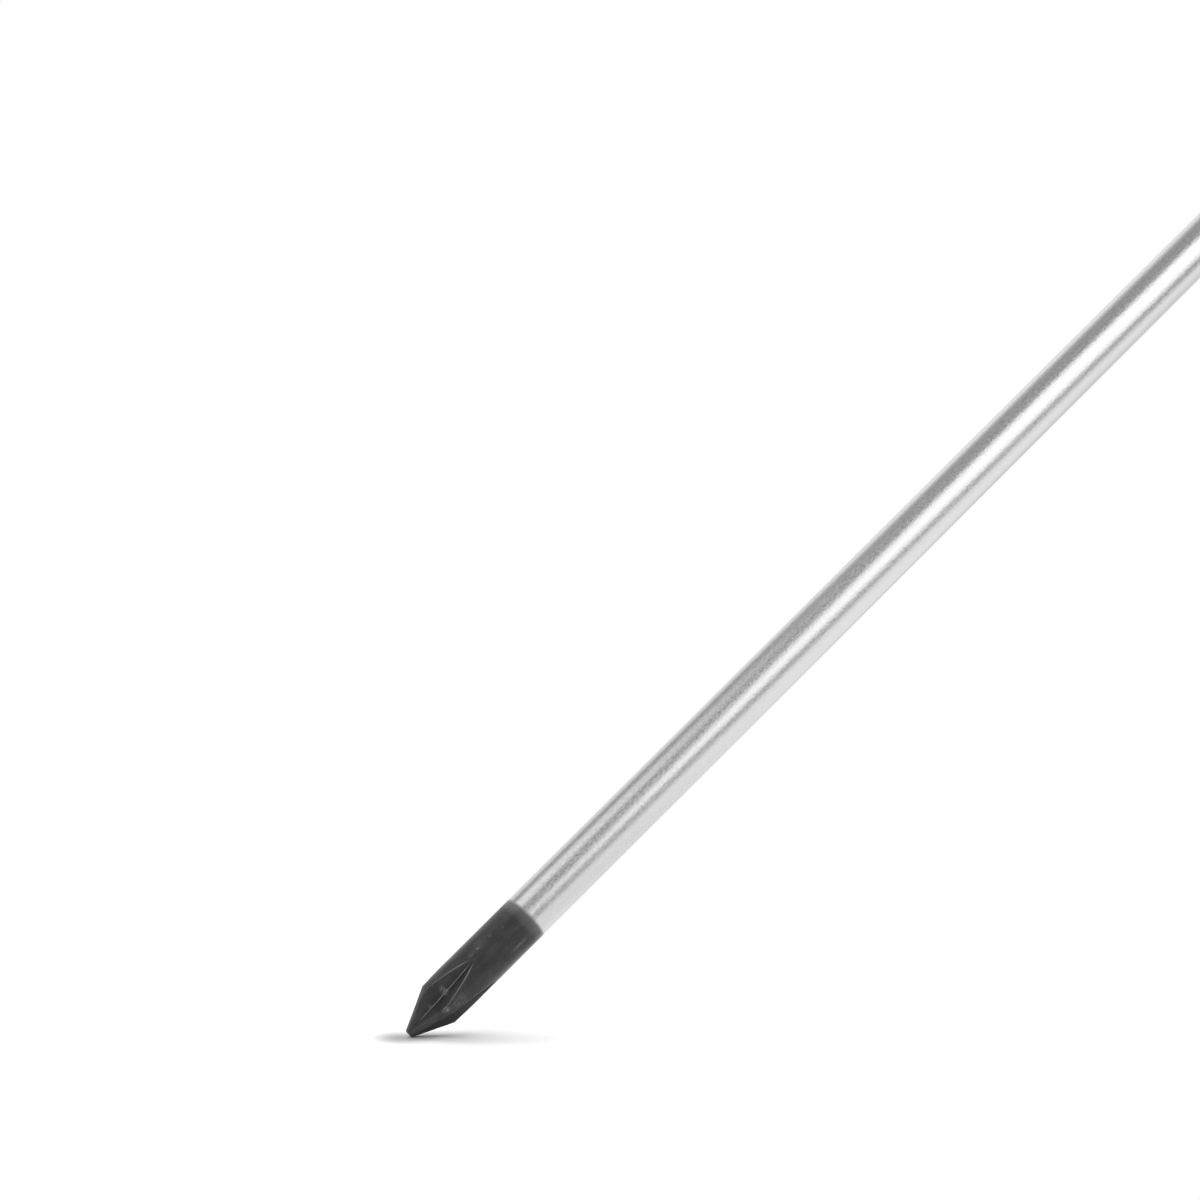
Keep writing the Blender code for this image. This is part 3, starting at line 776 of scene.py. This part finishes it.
def sleeve_row(u):
    """Half a sector's section as (radius, angle) points."""
    wall, lip = leaf_width(u, 0), max(leaf_width(u, LIP_ROUND), CENTRE_STRIP)
    anchored = any(start < u < end for start, end in ANCHORS)
    bore = handle_radius(u) - SLEEVE_WALL - (ANCHOR_DEPTH if anchored else 0)
    lip_angle, bore_angle = angle_across(u, lip), math.asin(wall / bore)
    row = []
    for k in range(OUTER_COLUMNS):
        angle = HALF_SECTOR + (lip_angle - HALF_SECTOR) * k / OUTER_COLUMNS
        row.append((sleeve_outside(u, angle), angle))
    for k in range(LIP_COLUMNS + 1):
        y = lip + (wall - lip) * math.sin(math.pi / 2 * k / LIP_COLUMNS)
        angle = angle_across(u, y)
        rolled = round_over(leaf_share(u, y, 0, LIP_ROUND), LIP_ROUND)
        row.append((sleeve_outside(u, angle) - rolled, angle))
    for k in range(BORE_COLUMNS + 1):
        row.append((bore, bore_angle + (HALF_SECTOR - bore_angle) * k / BORE_COLUMNS))
    return row


print("half a section has", len(sleeve_row(LEAF_MIDDLE)), "points")

# %% Sector of the sleeve
def faceted(name, places, faces, material=None):
    """A mesh of listed places and faces."""
    mesh = bpy.data.meshes.new(name)
    mesh.from_pydata(places, [], faces)
    if material:
        mesh.materials.append(material)
    print(name, "is drawn with", len(faces), "faces")
    return mesh


def sleeve_sector():
    """One sixth of the sleeve: two mirrored halves, without a wall where there is no window."""
    stations = sleeve_stations()
    rows = [sleeve_row(u) for u in stations]
    columns, wall_column = len(rows[0]), OUTER_COLUMNS + LIP_COLUMNS
    places, faces = [], []
    for side in (1, -1):
        base = len(places)
        places += [at(u, radius, side * angle) for u, row in zip(stations, rows) for radius, angle in row]
        for i in range(len(rows) - 1):
            open_wall = leaf_width(stations[i], 0) + leaf_width(stations[i + 1], 0) > 0
            for j in range(columns - 1):
                if j != wall_column or open_wall:
                    k = base + i * columns + j
                    faces.append((k, k + 1, k + columns + 1, k + columns)[::side])
        for i in (0, len(rows) - 1):
            faces.append(tuple(base + i * columns + j for j in range(columns)))
    return faceted("sleeve_sector", places, faces)


# %% [markdown]
# ## The sleeve's finish
# Soft elastomer from a spark-eroded mould is charcoal, quite matt and covered in a fine grain that swallows
# highlights. Handling polishes the grain a little in wide, faint patches. The grain could be displaced
# geometry, but at a tenth of a millimetre a bump does as well and keeps the mesh light.

# %% Charcoal elastomer
SKIN, CLOUDS = 0, 1


def moulded_material(name, patterns, tinted_by, tones, gloss, relief, specular):
    """A moulded plastic with a relief of skin, a gloss that varies in clouds, and a tint by either."""
    material, tree, noises = patterned_material(name, patterns)
    low, high = (linear(tone) for tone in tones)
    finish = {
        "Base Color": add(tree, MIX, {"Factor": noises[tinted_by], "A": low, "B": high}, data_type="RGBA"),
        "Roughness": add(tree, RANGE, [noises[CLOUDS], *gloss]),
        "Normal": add(tree, "ShaderNodeBump", {"Height": noises[SKIN], **relief}),
        "Specular IOR Level": specular,
    }
    add(tree, "ShaderNodeOutputMaterial", {"Surface": add(tree, "ShaderNodeBsdfPrincipled", finish)})
    return material


# The grain is coarser than the real 0.1 mm so that it shows
elastomer = moulded_material(
    "spark_textured_elastomer",
    patterns=(((0.3, 0.3, 0.3), 2.0, 0.6), ((15.0, 15.0, 15.0), 3.0, 0.5)),
    tinted_by=SKIN,
    tones=("#161617", "#2a2a2c"),
    gloss=(0.35, 0.65, 0.6, 0.82),
    relief={"Strength": 0.6, "Distance": 0.06 * MM},
    specular=0.4,
)

# %% Make the sleeve
sleeve = grown("soft_sleeve", sleeve_sector(), ring_tree("sleeve_sectors", elastomer), RING_SIZES)
hand_over(closed(sleeve), "grip_sleeve")

# %% [markdown]
# ## The hard core
# The core is polypropylene moulded round the tang: a turned shape with a nose, a shoulder at each end of the
# sleeve, two anchor grooves and a socket for the cap. A Screw modifier could turn its profile, but the faces
# are as easily listed. Six leaf-shaped pads stand on it and fill the sleeve's windows, a hair below its
# surface. The pads are drawn once, repeated by the same tree and joined to the turned body.

# %% Runs of the core's profile
EDGE_ROUND = 0.4
EDGE_STEP = 0.5
SPIGOT_RADIUS = 7.0
BEAD_AT = 101.0
BEAD_HALF_WIDTH = 0.8
BEAD_HEIGHT = 0.4
BEAD_STEPS = 4


def outline(start, end, inset=0.0, step=1.0):
    """Points (u, radius) along the handle's outline."""
    count = max(1, round((end - start) / step))
    places = [start + (end - start) * k / count for k in range(count + 1)]
    return [(u, handle_radius(u) - inset) for u in places]


def rounded_run(start, end):
    """A run of the outline whose two end corners are rounded."""
    points = outline(start + EDGE_ROUND, end - EDGE_ROUND, step=EDGE_STEP)
    corner = [(EDGE_ROUND * (1 - math.cos(t)), EDGE_ROUND * (1 - math.sin(t))) for t in QUARTER]
    front = [(start + back, points[0][1] - drop) for back, drop in corner]
    rear = [(end - back, points[-1][1] - drop) for back, drop in corner]
    return front + points[1:-1] + rear[::-1]


def spigot_bead(gap):
    """Points (u, radius) over the bead of the cap's spigot, from the butt inwards, moved out by gap."""
    shares = [k / BEAD_STEPS for k in range(-BEAD_STEPS, BEAD_STEPS + 1)]
    radius = SPIGOT_RADIUS + gap
    return [(BEAD_AT - BEAD_HALF_WIDTH * s, radius + BEAD_HEIGHT * hump(s)) for s in shares]


print("the bead of the spigot stands", BEAD_HEIGHT, "mm proud")

# %% Profile of the core
FIT_GAP = 0.3
SHANK_BORE = 3.06
NOSE_CHAMFER = 0.3
ANCHOR_LEDGE = 0.5
TAIL_END = 105.2
SPIGOT_END = 96.5

# Start, end and radius of the hollow for the tang
TANG_ROOM = (20.0, 64.3, 4.6)


def core_profile():
    """From the bottom of the cap's socket, round the outside, to the end of the tang's room."""
    inset = SLEEVE_WALL + FIT_GAP
    start, end = SLEEVE_START - FIT_GAP, SLEEVE_END + FIT_GAP
    under, reached = [], start
    for first, last in ANCHORS:
        front, rear = first - FIT_GAP, last + FIT_GAP
        under += outline(reached, front, inset)
        under += outline(front, rear, inset + ANCHOR_DEPTH)
        reached = rear + ANCHOR_LEDGE
        under += outline(rear, reached, inset)
    under += outline(reached, end, inset)
    room_start, room_end, room_radius = TANG_ROOM
    bottom, wall = SPIGOT_END - FIT_GAP, SPIGOT_RADIUS + FIT_GAP
    socket = [(bottom, 0), (bottom, wall), *spigot_bead(FIT_GAP)[::-1], (TAIL_END, wall)]
    nose = rounded_run(0, start)[::-1] + [(0, SHANK_BORE + NOSE_CHAMFER), (NOSE_CHAMFER, SHANK_BORE)]
    room = [(room_start, SHANK_BORE), (room_start, room_radius), (room_end, room_radius), (room_end, 0)]
    return socket + rounded_run(end, TAIL_END)[::-1] + under[::-1] + nose + room


print("the core's profile has", len(core_profile()), "points")

# %% Turned bodies
TURN_STEPS = 144


def turned_piece(name, profile, material):
    """A body turned from (u, radius) points. Those on the axis are welded as it is closed."""
    turns = [math.tau * (k + 0.5) / TURN_STEPS for k in range(TURN_STEPS)]
    places = [at(u, radius, turn) for u, radius in profile for turn in turns]
    faces = []
    for i in range(len(profile) - 1):
        this, following = i * TURN_STEPS, (i + 1) * TURN_STEPS
        for k in range(TURN_STEPS):
            after = (k + 1) % TURN_STEPS
            faces.append((this + k, this + after, following + after, following + k))
    return closed(placed(name, faceted(name, places, faces, material)))


# %% Pads that fill the windows
PAD_SINK = 0.25
PAD_ROUND = 0.4
PAD_ROOT = 1.2
PAD_ROWS = 56
PAD_COLUMNS = 16


def pad_mesh():
    """One pad: its rounded top, its side and a bottom sunk into the core."""
    top, bottom = [], []
    for i in range(PAD_ROWS + 1):
        u = LEAF_MIDDLE - (LEAF_HALF_LENGTH - FIT_GAP) * math.cos(math.pi * i / PAD_ROWS)
        width = leaf_width(u, -FIT_GAP) if 0 < i < PAD_ROWS else 0.0
        for j in range(PAD_COLUMNS + 1):
            y = -width * math.cos(math.pi * j / PAD_COLUMNS)
            angle = angle_across(u, y)
            edge = round_over(1 - leaf_share(u, y, -FIT_GAP - PAD_ROUND, -FIT_GAP), PAD_ROUND)
            top.append(at(u, surface_radius(u, angle) - PAD_SINK - edge, angle))
            bottom.append(at(u, handle_radius(u) - SLEEVE_WALL - FIT_GAP - PAD_ROOT, angle))
    columns, faces = PAD_COLUMNS + 1, []
    for i in range(PAD_ROWS):
        for j in range(PAD_COLUMNS):
            k = i * columns + j
            quad = (k, k + 1, k + columns + 1, k + columns)
            faces += [quad, tuple(v + len(top) for v in reversed(quad))]
        for k in (i * columns, i * columns + PAD_COLUMNS):
            side = (k, k + columns, k + columns + len(top), k + len(top))
            faces.append(side if k % columns == 0 else side[::-1])
    return faceted("core_pad", top + bottom, faces)


# %% [markdown]
# ## The core's finish
# Filled polypropylene is mid grey and half matt. The mould leaves a fine leathery skin, and the melt leaves
# faint flow clouds in the colour. As on the sleeve, two noise patterns of those sizes make both.

# %% Grey polypropylene
plastic = moulded_material(
    "moulded_polypropylene",
    patterns=(((0.4, 0.4, 0.4), 2.0, 0.5), ((20.0, 8.0, 8.0), 4.0, 0.55)),
    tinted_by=CLOUDS,
    tones=("#5f6265", "#75787b"),
    gloss=(0.3, 0.7, 0.38, 0.5),
    relief={"Strength": 0.3, "Distance": 0.03 * MM},
    specular=0.5,
)

# %% Make the core
pads = closed(grown("core_pads", pad_mesh(), ring_tree("core_pads", plastic), RING_SIZES))
core = turned_piece("hard_core", core_profile(), plastic)
joining = core.modifiers.new("join_pads", "BOOLEAN")
joining.operation = "UNION"
joining.solver = "EXACT"
joining.object = pads
core_mesh = settled(core)
core.modifiers.clear()
core.data = core_mesh
bpy.data.objects.remove(pads)
hand_over(closed(core), "handle_core")

# %% [markdown]
# ## The end cap
# The cap is moulded from the same plastic: a flat face inside a fine groove, a round crown that carries the
# handle's outline on, and a spigot with a bead that snaps into the core's socket. All of it is round, so one
# profile turned about the axis gives the whole piece.

# %% Make the end cap
CAP_FRONT = 105.5
CAP_END = 110.0
CAP_CROWN = 2.2
CAP_CROWN_CENTRE = 10.8
CAP_CROWN_TURNS = [math.radians(6.5 * k) for k in range(13)]
CAP_GROOVE = (8.4, 9.4, 0.5)
CAP_GROOVE_STEPS = 6


def cap_profile():
    """From the middle of the face, over the crown and along the spigot, back to the axis."""
    inner, outer, depth = CAP_GROOVE
    middle, half = (inner + outer) / 2, (outer - inner) / 2
    shares = [k / CAP_GROOVE_STEPS for k in range(-CAP_GROOVE_STEPS, CAP_GROOVE_STEPS + 1)]
    groove = [(CAP_END - depth * hump(s), middle + half * s) for s in shares]
    crown = [
        (CAP_END - CAP_CROWN * (1 - math.cos(t)), CAP_CROWN_CENTRE + CAP_CROWN * math.sin(t))
        for t in CAP_CROWN_TURNS
    ]
    rim_radius = handle_radius(CAP_FRONT + EDGE_ROUND)
    rim = [
        (CAP_FRONT + EDGE_ROUND * (1 - math.sin(t)), rim_radius - EDGE_ROUND * (1 - math.cos(t)))
        for t in QUARTER
    ]
    spigot = [(CAP_FRONT, SPIGOT_RADIUS), *spigot_bead(0), (SPIGOT_END + EDGE_ROUND, SPIGOT_RADIUS)]
    tip = [(SPIGOT_END, SPIGOT_RADIUS - EDGE_ROUND), (SPIGOT_END, 0)]
    return [(CAP_END, 0)] + groove + crown + rim + spigot + tip


cap = turned_piece("butt_cap", cap_profile(), plastic)
hand_over(cap, "end_cap")

# %% [markdown]
# ## The camera
# The photograph looks down on the blade through a long lens. Four facts fix the camera: the pixel where the
# point ends, the slope of the tool's axis in the picture, how far that axis leans away from the camera, and
# which side of the bar faces it. Those are measured on the photograph, and the camera's own axes are worked
# out from them, which is surer than turning a camera by hand until the picture fits.

# %% Set the camera
PICTURE_SIZE = 1200
FOCAL_PIXELS = 4500
POINT_PIXEL = (409.0, 1033.8)
AXIS_SLOPE = math.radians(44.34)
LEAN_AWAY = math.radians(14.5)
FACING_TURN = math.radians(25.1)
POINT_DISTANCE = 0.5415
SENSOR_WIDTH = 36.0
CLIP_START = 0.01
TOOL_AXIS = Vector((1, 0, 0))


def camera_place():
    """The camera's matrix: the tool's axis, its facing side and their normal, matched to the picture."""
    right, up, back = Vector((1, 0, 0)), Vector((0, 1, 0)), Vector((0, 0, 1))
    run = right * math.cos(AXIS_SLOPE) + up * math.sin(AXIS_SLOPE)
    axis_seen = run * math.cos(LEAN_AWAY) - back * math.sin(LEAN_AWAY)
    facing_seen = run * math.sin(LEAN_AWAY) + back * math.cos(LEAN_AWAY)
    as_seen = Matrix((axis_seen, facing_seen, axis_seen.cross(facing_seen))).transposed()
    facing = Vector((0, -math.sin(FACING_TURN), math.cos(FACING_TURN)))
    as_real = Matrix((TOOL_AXIS, facing, TOOL_AXIS.cross(facing))).transposed()
    turn = as_real @ as_seen.transposed()
    half = PICTURE_SIZE / 2
    across = (POINT_PIXEL[0] - half) / FOCAL_PIXELS
    height = (half - POINT_PIXEL[1]) / FOCAL_PIXELS
    point_seen = Vector((across, height, -1)) * POINT_DISTANCE
    return Matrix.Translation(-(turn @ point_seen)) @ turn.to_4x4()


camera_data = bpy.data.cameras.new("camera")
camera_data.sensor_width = SENSOR_WIDTH
camera_data.lens = FOCAL_PIXELS / PICTURE_SIZE * SENSOR_WIDTH
camera_data.clip_start = CLIP_START
camera = placed("camera", camera_data)
camera.matrix_world = camera_place()
bpy.context.scene.camera = camera
camera_at = [round(c, 3) for c in camera.matrix_world.translation]
print("camera at", camera_at, "with a", camera_data.lens, "mm lens")

# %% [markdown]
# ## The floor
# In the photograph the tool stands on its point on a white sheet, which the camera sees almost from its edge.
# The frame keeps the tool's axis level, so here it is the sheet that tilts: it is laid out in the camera's
# own axes, right, up and back, with the point at the origin, and then slid along its normal until it touches
# the blade. The sheet is one-sided, because a view from behind it would otherwise see nothing of the tool,
# and away from the point it fades into the white surroundings, so that no edge of it shows from any side.
# The soft shade right at the contact reaches further left than a lamp could cast it past the leaning blade,
# so that part is drawn into the paper.

# %% Axes of the sheet
SHEET_TILT = math.radians(7.2)
seen_axes = camera.matrix_world.to_3x3()


def seen(right, up, back):
    """A place given in the camera's axes from the tool's point, in the frame's axes."""
    return seen_axes @ Vector((right, up, back))


sheet_up = seen(0, math.cos(SHEET_TILT), math.sin(SHEET_TILT))
sheet_front = seen(0, -math.sin(SHEET_TILT), math.cos(SHEET_TILT))
sheet_right = seen(1, 0, 0)
touch = min(v.co.dot(sheet_up) for v in blade.data.vertices)
print("sheet touches the blade", round(-touch / MM, 2), "mm below its end")

# %% Colour and glow of the paper
PAPER_WHITE = 0.92
PAPER_SHOWN = 1.3
PAPER_MIRRORED = 1.14
SHADE_LEFT = 1.2 * MM
SHADE_NEAR = 0.3 * MM
SHADE_FADE = (0.0, 5.6 * MM, 0.38)
# Painted glow that the metal mirrors away from the point: brighter to the right and dimmer to the rear
PAINTED_GLOW_TO_RIGHT = (0.05, 0.12, 1.02, 1.2)
PAINTED_DIMMING_TO_REAR = (-0.13, -0.07, 0.7)


def paper_colour(tree, rays, mirrored, spot):
    """Matt white, a little brighter to the camera and in the metal, with the drawn part of the shade."""
    lit = add(tree, RANGE, [mirrored, 0.0, 1.0, PAPER_WHITE, PAPER_MIRRORED])
    lift = [rays["Is Camera Ray"], PAPER_SHOWN - PAPER_WHITE, lit]
    level = add(tree, MATH, lift, "MULTIPLY_ADD")
    middle = seen(-SHADE_LEFT, 0, SHADE_NEAR)
    from_middle = add(tree, VECTOR, [spot, middle], "DISTANCE")
    shade = add(tree, RANGE, [from_middle, *SHADE_FADE], interpolation_type="SMOOTHSTEP")
    return add(tree, MATH, [level, shade], "MULTIPLY")


def painted_paper_glow(tree, spot):
    """What the metal mirrors away from the point: a painted glow of white paper, brighter to the right and
    dimmer to the rear.
    """
    to_right = add(tree, VECTOR, [spot, sheet_right], "DOT_PRODUCT")
    to_front = add(tree, VECTOR, [spot, sheet_front], "DOT_PRODUCT")
    painted_brightening = add(tree, RANGE, [to_right, *PAINTED_GLOW_TO_RIGHT])
    dimmed = add(tree, RANGE, [to_front, *PAINTED_DIMMING_TO_REAR])
    strength = add(tree, MATH, [painted_brightening, dimmed], "MULTIPLY")
    return add(tree, "ShaderNodeEmission", {"Strength": strength})


print("the drawn shade reaches", round(SHADE_FADE[1] / MM, 1), "mm")

# %% White paper
METAL_FADE = (0.02, 0.05)
CAMERA_FADE = (0.016, 0.036)


def white_sheet():
    """Uncoated paper that takes the shadow near the point and is clear from behind and further off."""
    material, tree = new_material("white_paper")
    rays = add(tree, "ShaderNodeLightPath").node.outputs
    spot = add(tree, "ShaderNodeTexCoord").node.outputs["Object"]
    distance = add(tree, VECTOR, [spot], "LENGTH")
    glossy = [rays["Is Glossy Ray"], rays["Is Transmission Ray"]]
    mirrored = add(tree, MATH, glossy, "MAXIMUM")
    paper = add(tree, "ShaderNodeBsdfDiffuse", {"Color": paper_colour(tree, rays, mirrored, spot)})
    away = add(tree, RANGE, [distance, *METAL_FADE])
    in_metal = add(tree, MATH, [mirrored, away], "MULTIPLY")
    surface = add(tree, "ShaderNodeMixShader", [in_metal, paper, painted_paper_glow(tree, spot)])

    far = add(tree, RANGE, [distance, *CAMERA_FADE])
    faded = add(tree, MATH, [far, rays["Is Camera Ray"]], "MULTIPLY")
    behind = add(tree, "ShaderNodeNewGeometry").node.outputs["Backfacing"]
    hidden = add(tree, MATH, [faded, behind], "MAXIMUM")
    clear = add(tree, "ShaderNodeBsdfTransparent")
    shader = add(tree, "ShaderNodeMixShader", [hidden, surface, clear])
    add(tree, "ShaderNodeOutputMaterial", {"Surface": shader})
    print(material.name, "has", len(tree.nodes), "nodes")
    return material


# %% Lay the sheet under the point
# Each corner's way to the right and to the front of the point, in metres
SHEET_CORNERS = ((-0.4, 0.25), (0.42, 0.25), (0.42, -0.2), (-0.4, -0.2))
corners = [sheet_up * touch + sheet_right * right + sheet_front * front for right, front in SHEET_CORNERS]
sheet = placed("sheet", faceted("sheet", corners, [(0, 1, 2, 3)], white_sheet()))

# %% [markdown]
# ## The light
# The bands along the shank are the studio, seen in a mirror that is bent one way and slightly rough. Two
# softboxes make its two bright bands, and a small third one lights its upper rim towards the handle. The
# sheet makes the broad pale band along its lower side, where away from the point the metal mirrors a painted
# glow of the paper, and a dark canopy over the table makes the grey between them. An overhead strip that the
# metal doesn't mirror casts the shadow, and the canopy is there for reflections only, so each band and the
# shadow can be set without moving the others.

# %% Softboxes
def softbox(name, place, sides, brightness, target, side, roll=0.0):
    """A rectangular lamp that faces its target, with its first side along the given one, then rolled.

    Its power is worked out from its size, so that it is as bright in a mirror as the number says.
    """
    data = bpy.data.lights.new(name, "AREA")
    data.shape = "RECTANGLE"
    data.size, data.size_y = sides
    data.energy = brightness * math.pi * sides[0] * sides[1]
    away = (place - target).normalized()
    along = (side - away * away.dot(side)).normalized()
    along.rotate(Matrix.Rotation(roll, 3, away))
    lamp = placed(name, data)
    turn = Matrix((along, away.cross(along), away)).transposed().to_4x4()
    lamp.matrix_world = Matrix.Translation(place) @ turn
    print(name, "gives", round(data.energy, 3), "W from", sides[0], "by", sides[1], "m")
    return lamp


# Place in the camera's axes, sides in metres, brightness, place faced on the tool in mm, roll in degrees
SOFTBOXES = {
    "right_softbox": ((0.209, 0.217, 0.200), (0.311, 0.299), 1.31, 60, -37),
    "left_softbox": ((-0.169, 0.149, 0.086), (0.36, 0.205), 0.84, 60, 1),
    "rim_softbox": ((0.02, 0.24, -0.147), (0.16, 0.11), 0.44, 130, 0),
}
for name, (place, sides, brightness, faced, roll) in SOFTBOXES.items():
    target = TOOL_AXIS * (faced * MM)
    lamp = softbox(name, seen(*place), sides, brightness, target, TOOL_AXIS, math.radians(roll))
    # Only the left one lights matt surfaces too
    lamp.visible_diffuse = name == "left_softbox"

# %% Overhead strip for the shadow
STRIP_LEAN = 0.82
STRIP_DISTANCE = 0.5
STRIP_SIDES = (1.3, 0.38)
STRIP_BRIGHTNESS = 2.1
strip_place = (sheet_up - sheet_front * STRIP_LEAN).normalized() * STRIP_DISTANCE
strip = softbox("overhead_strip", strip_place, STRIP_SIDES, STRIP_BRIGHTNESS, Vector((0, 0, 0)), sheet_right)
strip.visible_glossy = False
strip.visible_transmission = False

# %% Dark canopy over the table
CANOPY_RADIUS = 0.9
CANOPY_HALF_LENGTH = 3.0
CANOPY_ARC = [math.radians(a) for a in range(-48, 151, 9)]
CANOPY_BRIGHTNESS = 0.387

canopy_material, canopy_tree = new_material("dark_canopy")
glow = add(canopy_tree, "ShaderNodeEmission", {"Strength": CANOPY_BRIGHTNESS})
add(canopy_tree, "ShaderNodeOutputMaterial", {"Surface": glow})
canopy_places = [
    sheet_right * side + (sheet_up * math.cos(a) + sheet_front * math.sin(a)) * CANOPY_RADIUS
    for a in CANOPY_ARC for side in (-CANOPY_HALF_LENGTH, CANOPY_HALF_LENGTH)
]
canopy_faces = [(2 * i, 2 * i + 1, 2 * i + 3, 2 * i + 2) for i in range(len(CANOPY_ARC) - 1)]
canopy = placed("canopy", faceted("canopy", canopy_places, canopy_faces, canopy_material))
for ray in ("camera", "diffuse", "shadow", "transmission"):
    setattr(canopy, "visible_" + ray, False)

# %% [markdown]
# ## White surroundings
# A world that is white to the camera and to mirrors gives the photograph's white ground, but as a light it
# would flatten the shadow. So Light Path tells the rays apart: those that are seen find pure white, and
# those that light matt surfaces find less than half of it.

# %% White world
WORLD_FILL = 0.4
world = bpy.data.worlds.new("studio")
world.use_nodes = True
sky_tree = world.node_tree
sky_tree.nodes.clear()
rays = add(sky_tree, "ShaderNodeLightPath").node.outputs
shown = 0.0
for ray in ("Is Camera Ray", "Is Glossy Ray", "Is Transmission Ray"):
    shown = add(sky_tree, MATH, [rays[ray], shown], "MAXIMUM")
level = add(sky_tree, RANGE, [shown, 0.0, 1.0, WORLD_FILL])
sky = add(sky_tree, "ShaderNodeBackground", {"Color": (1, 1, 1, 1), "Strength": level})
add(sky_tree, "ShaderNodeOutputWorld", {"Surface": sky})
bpy.context.scene.world = world
bpy.context.scene.view_settings.view_transform = "Standard"
print("world shows white and lights matt surfaces at", WORLD_FILL)
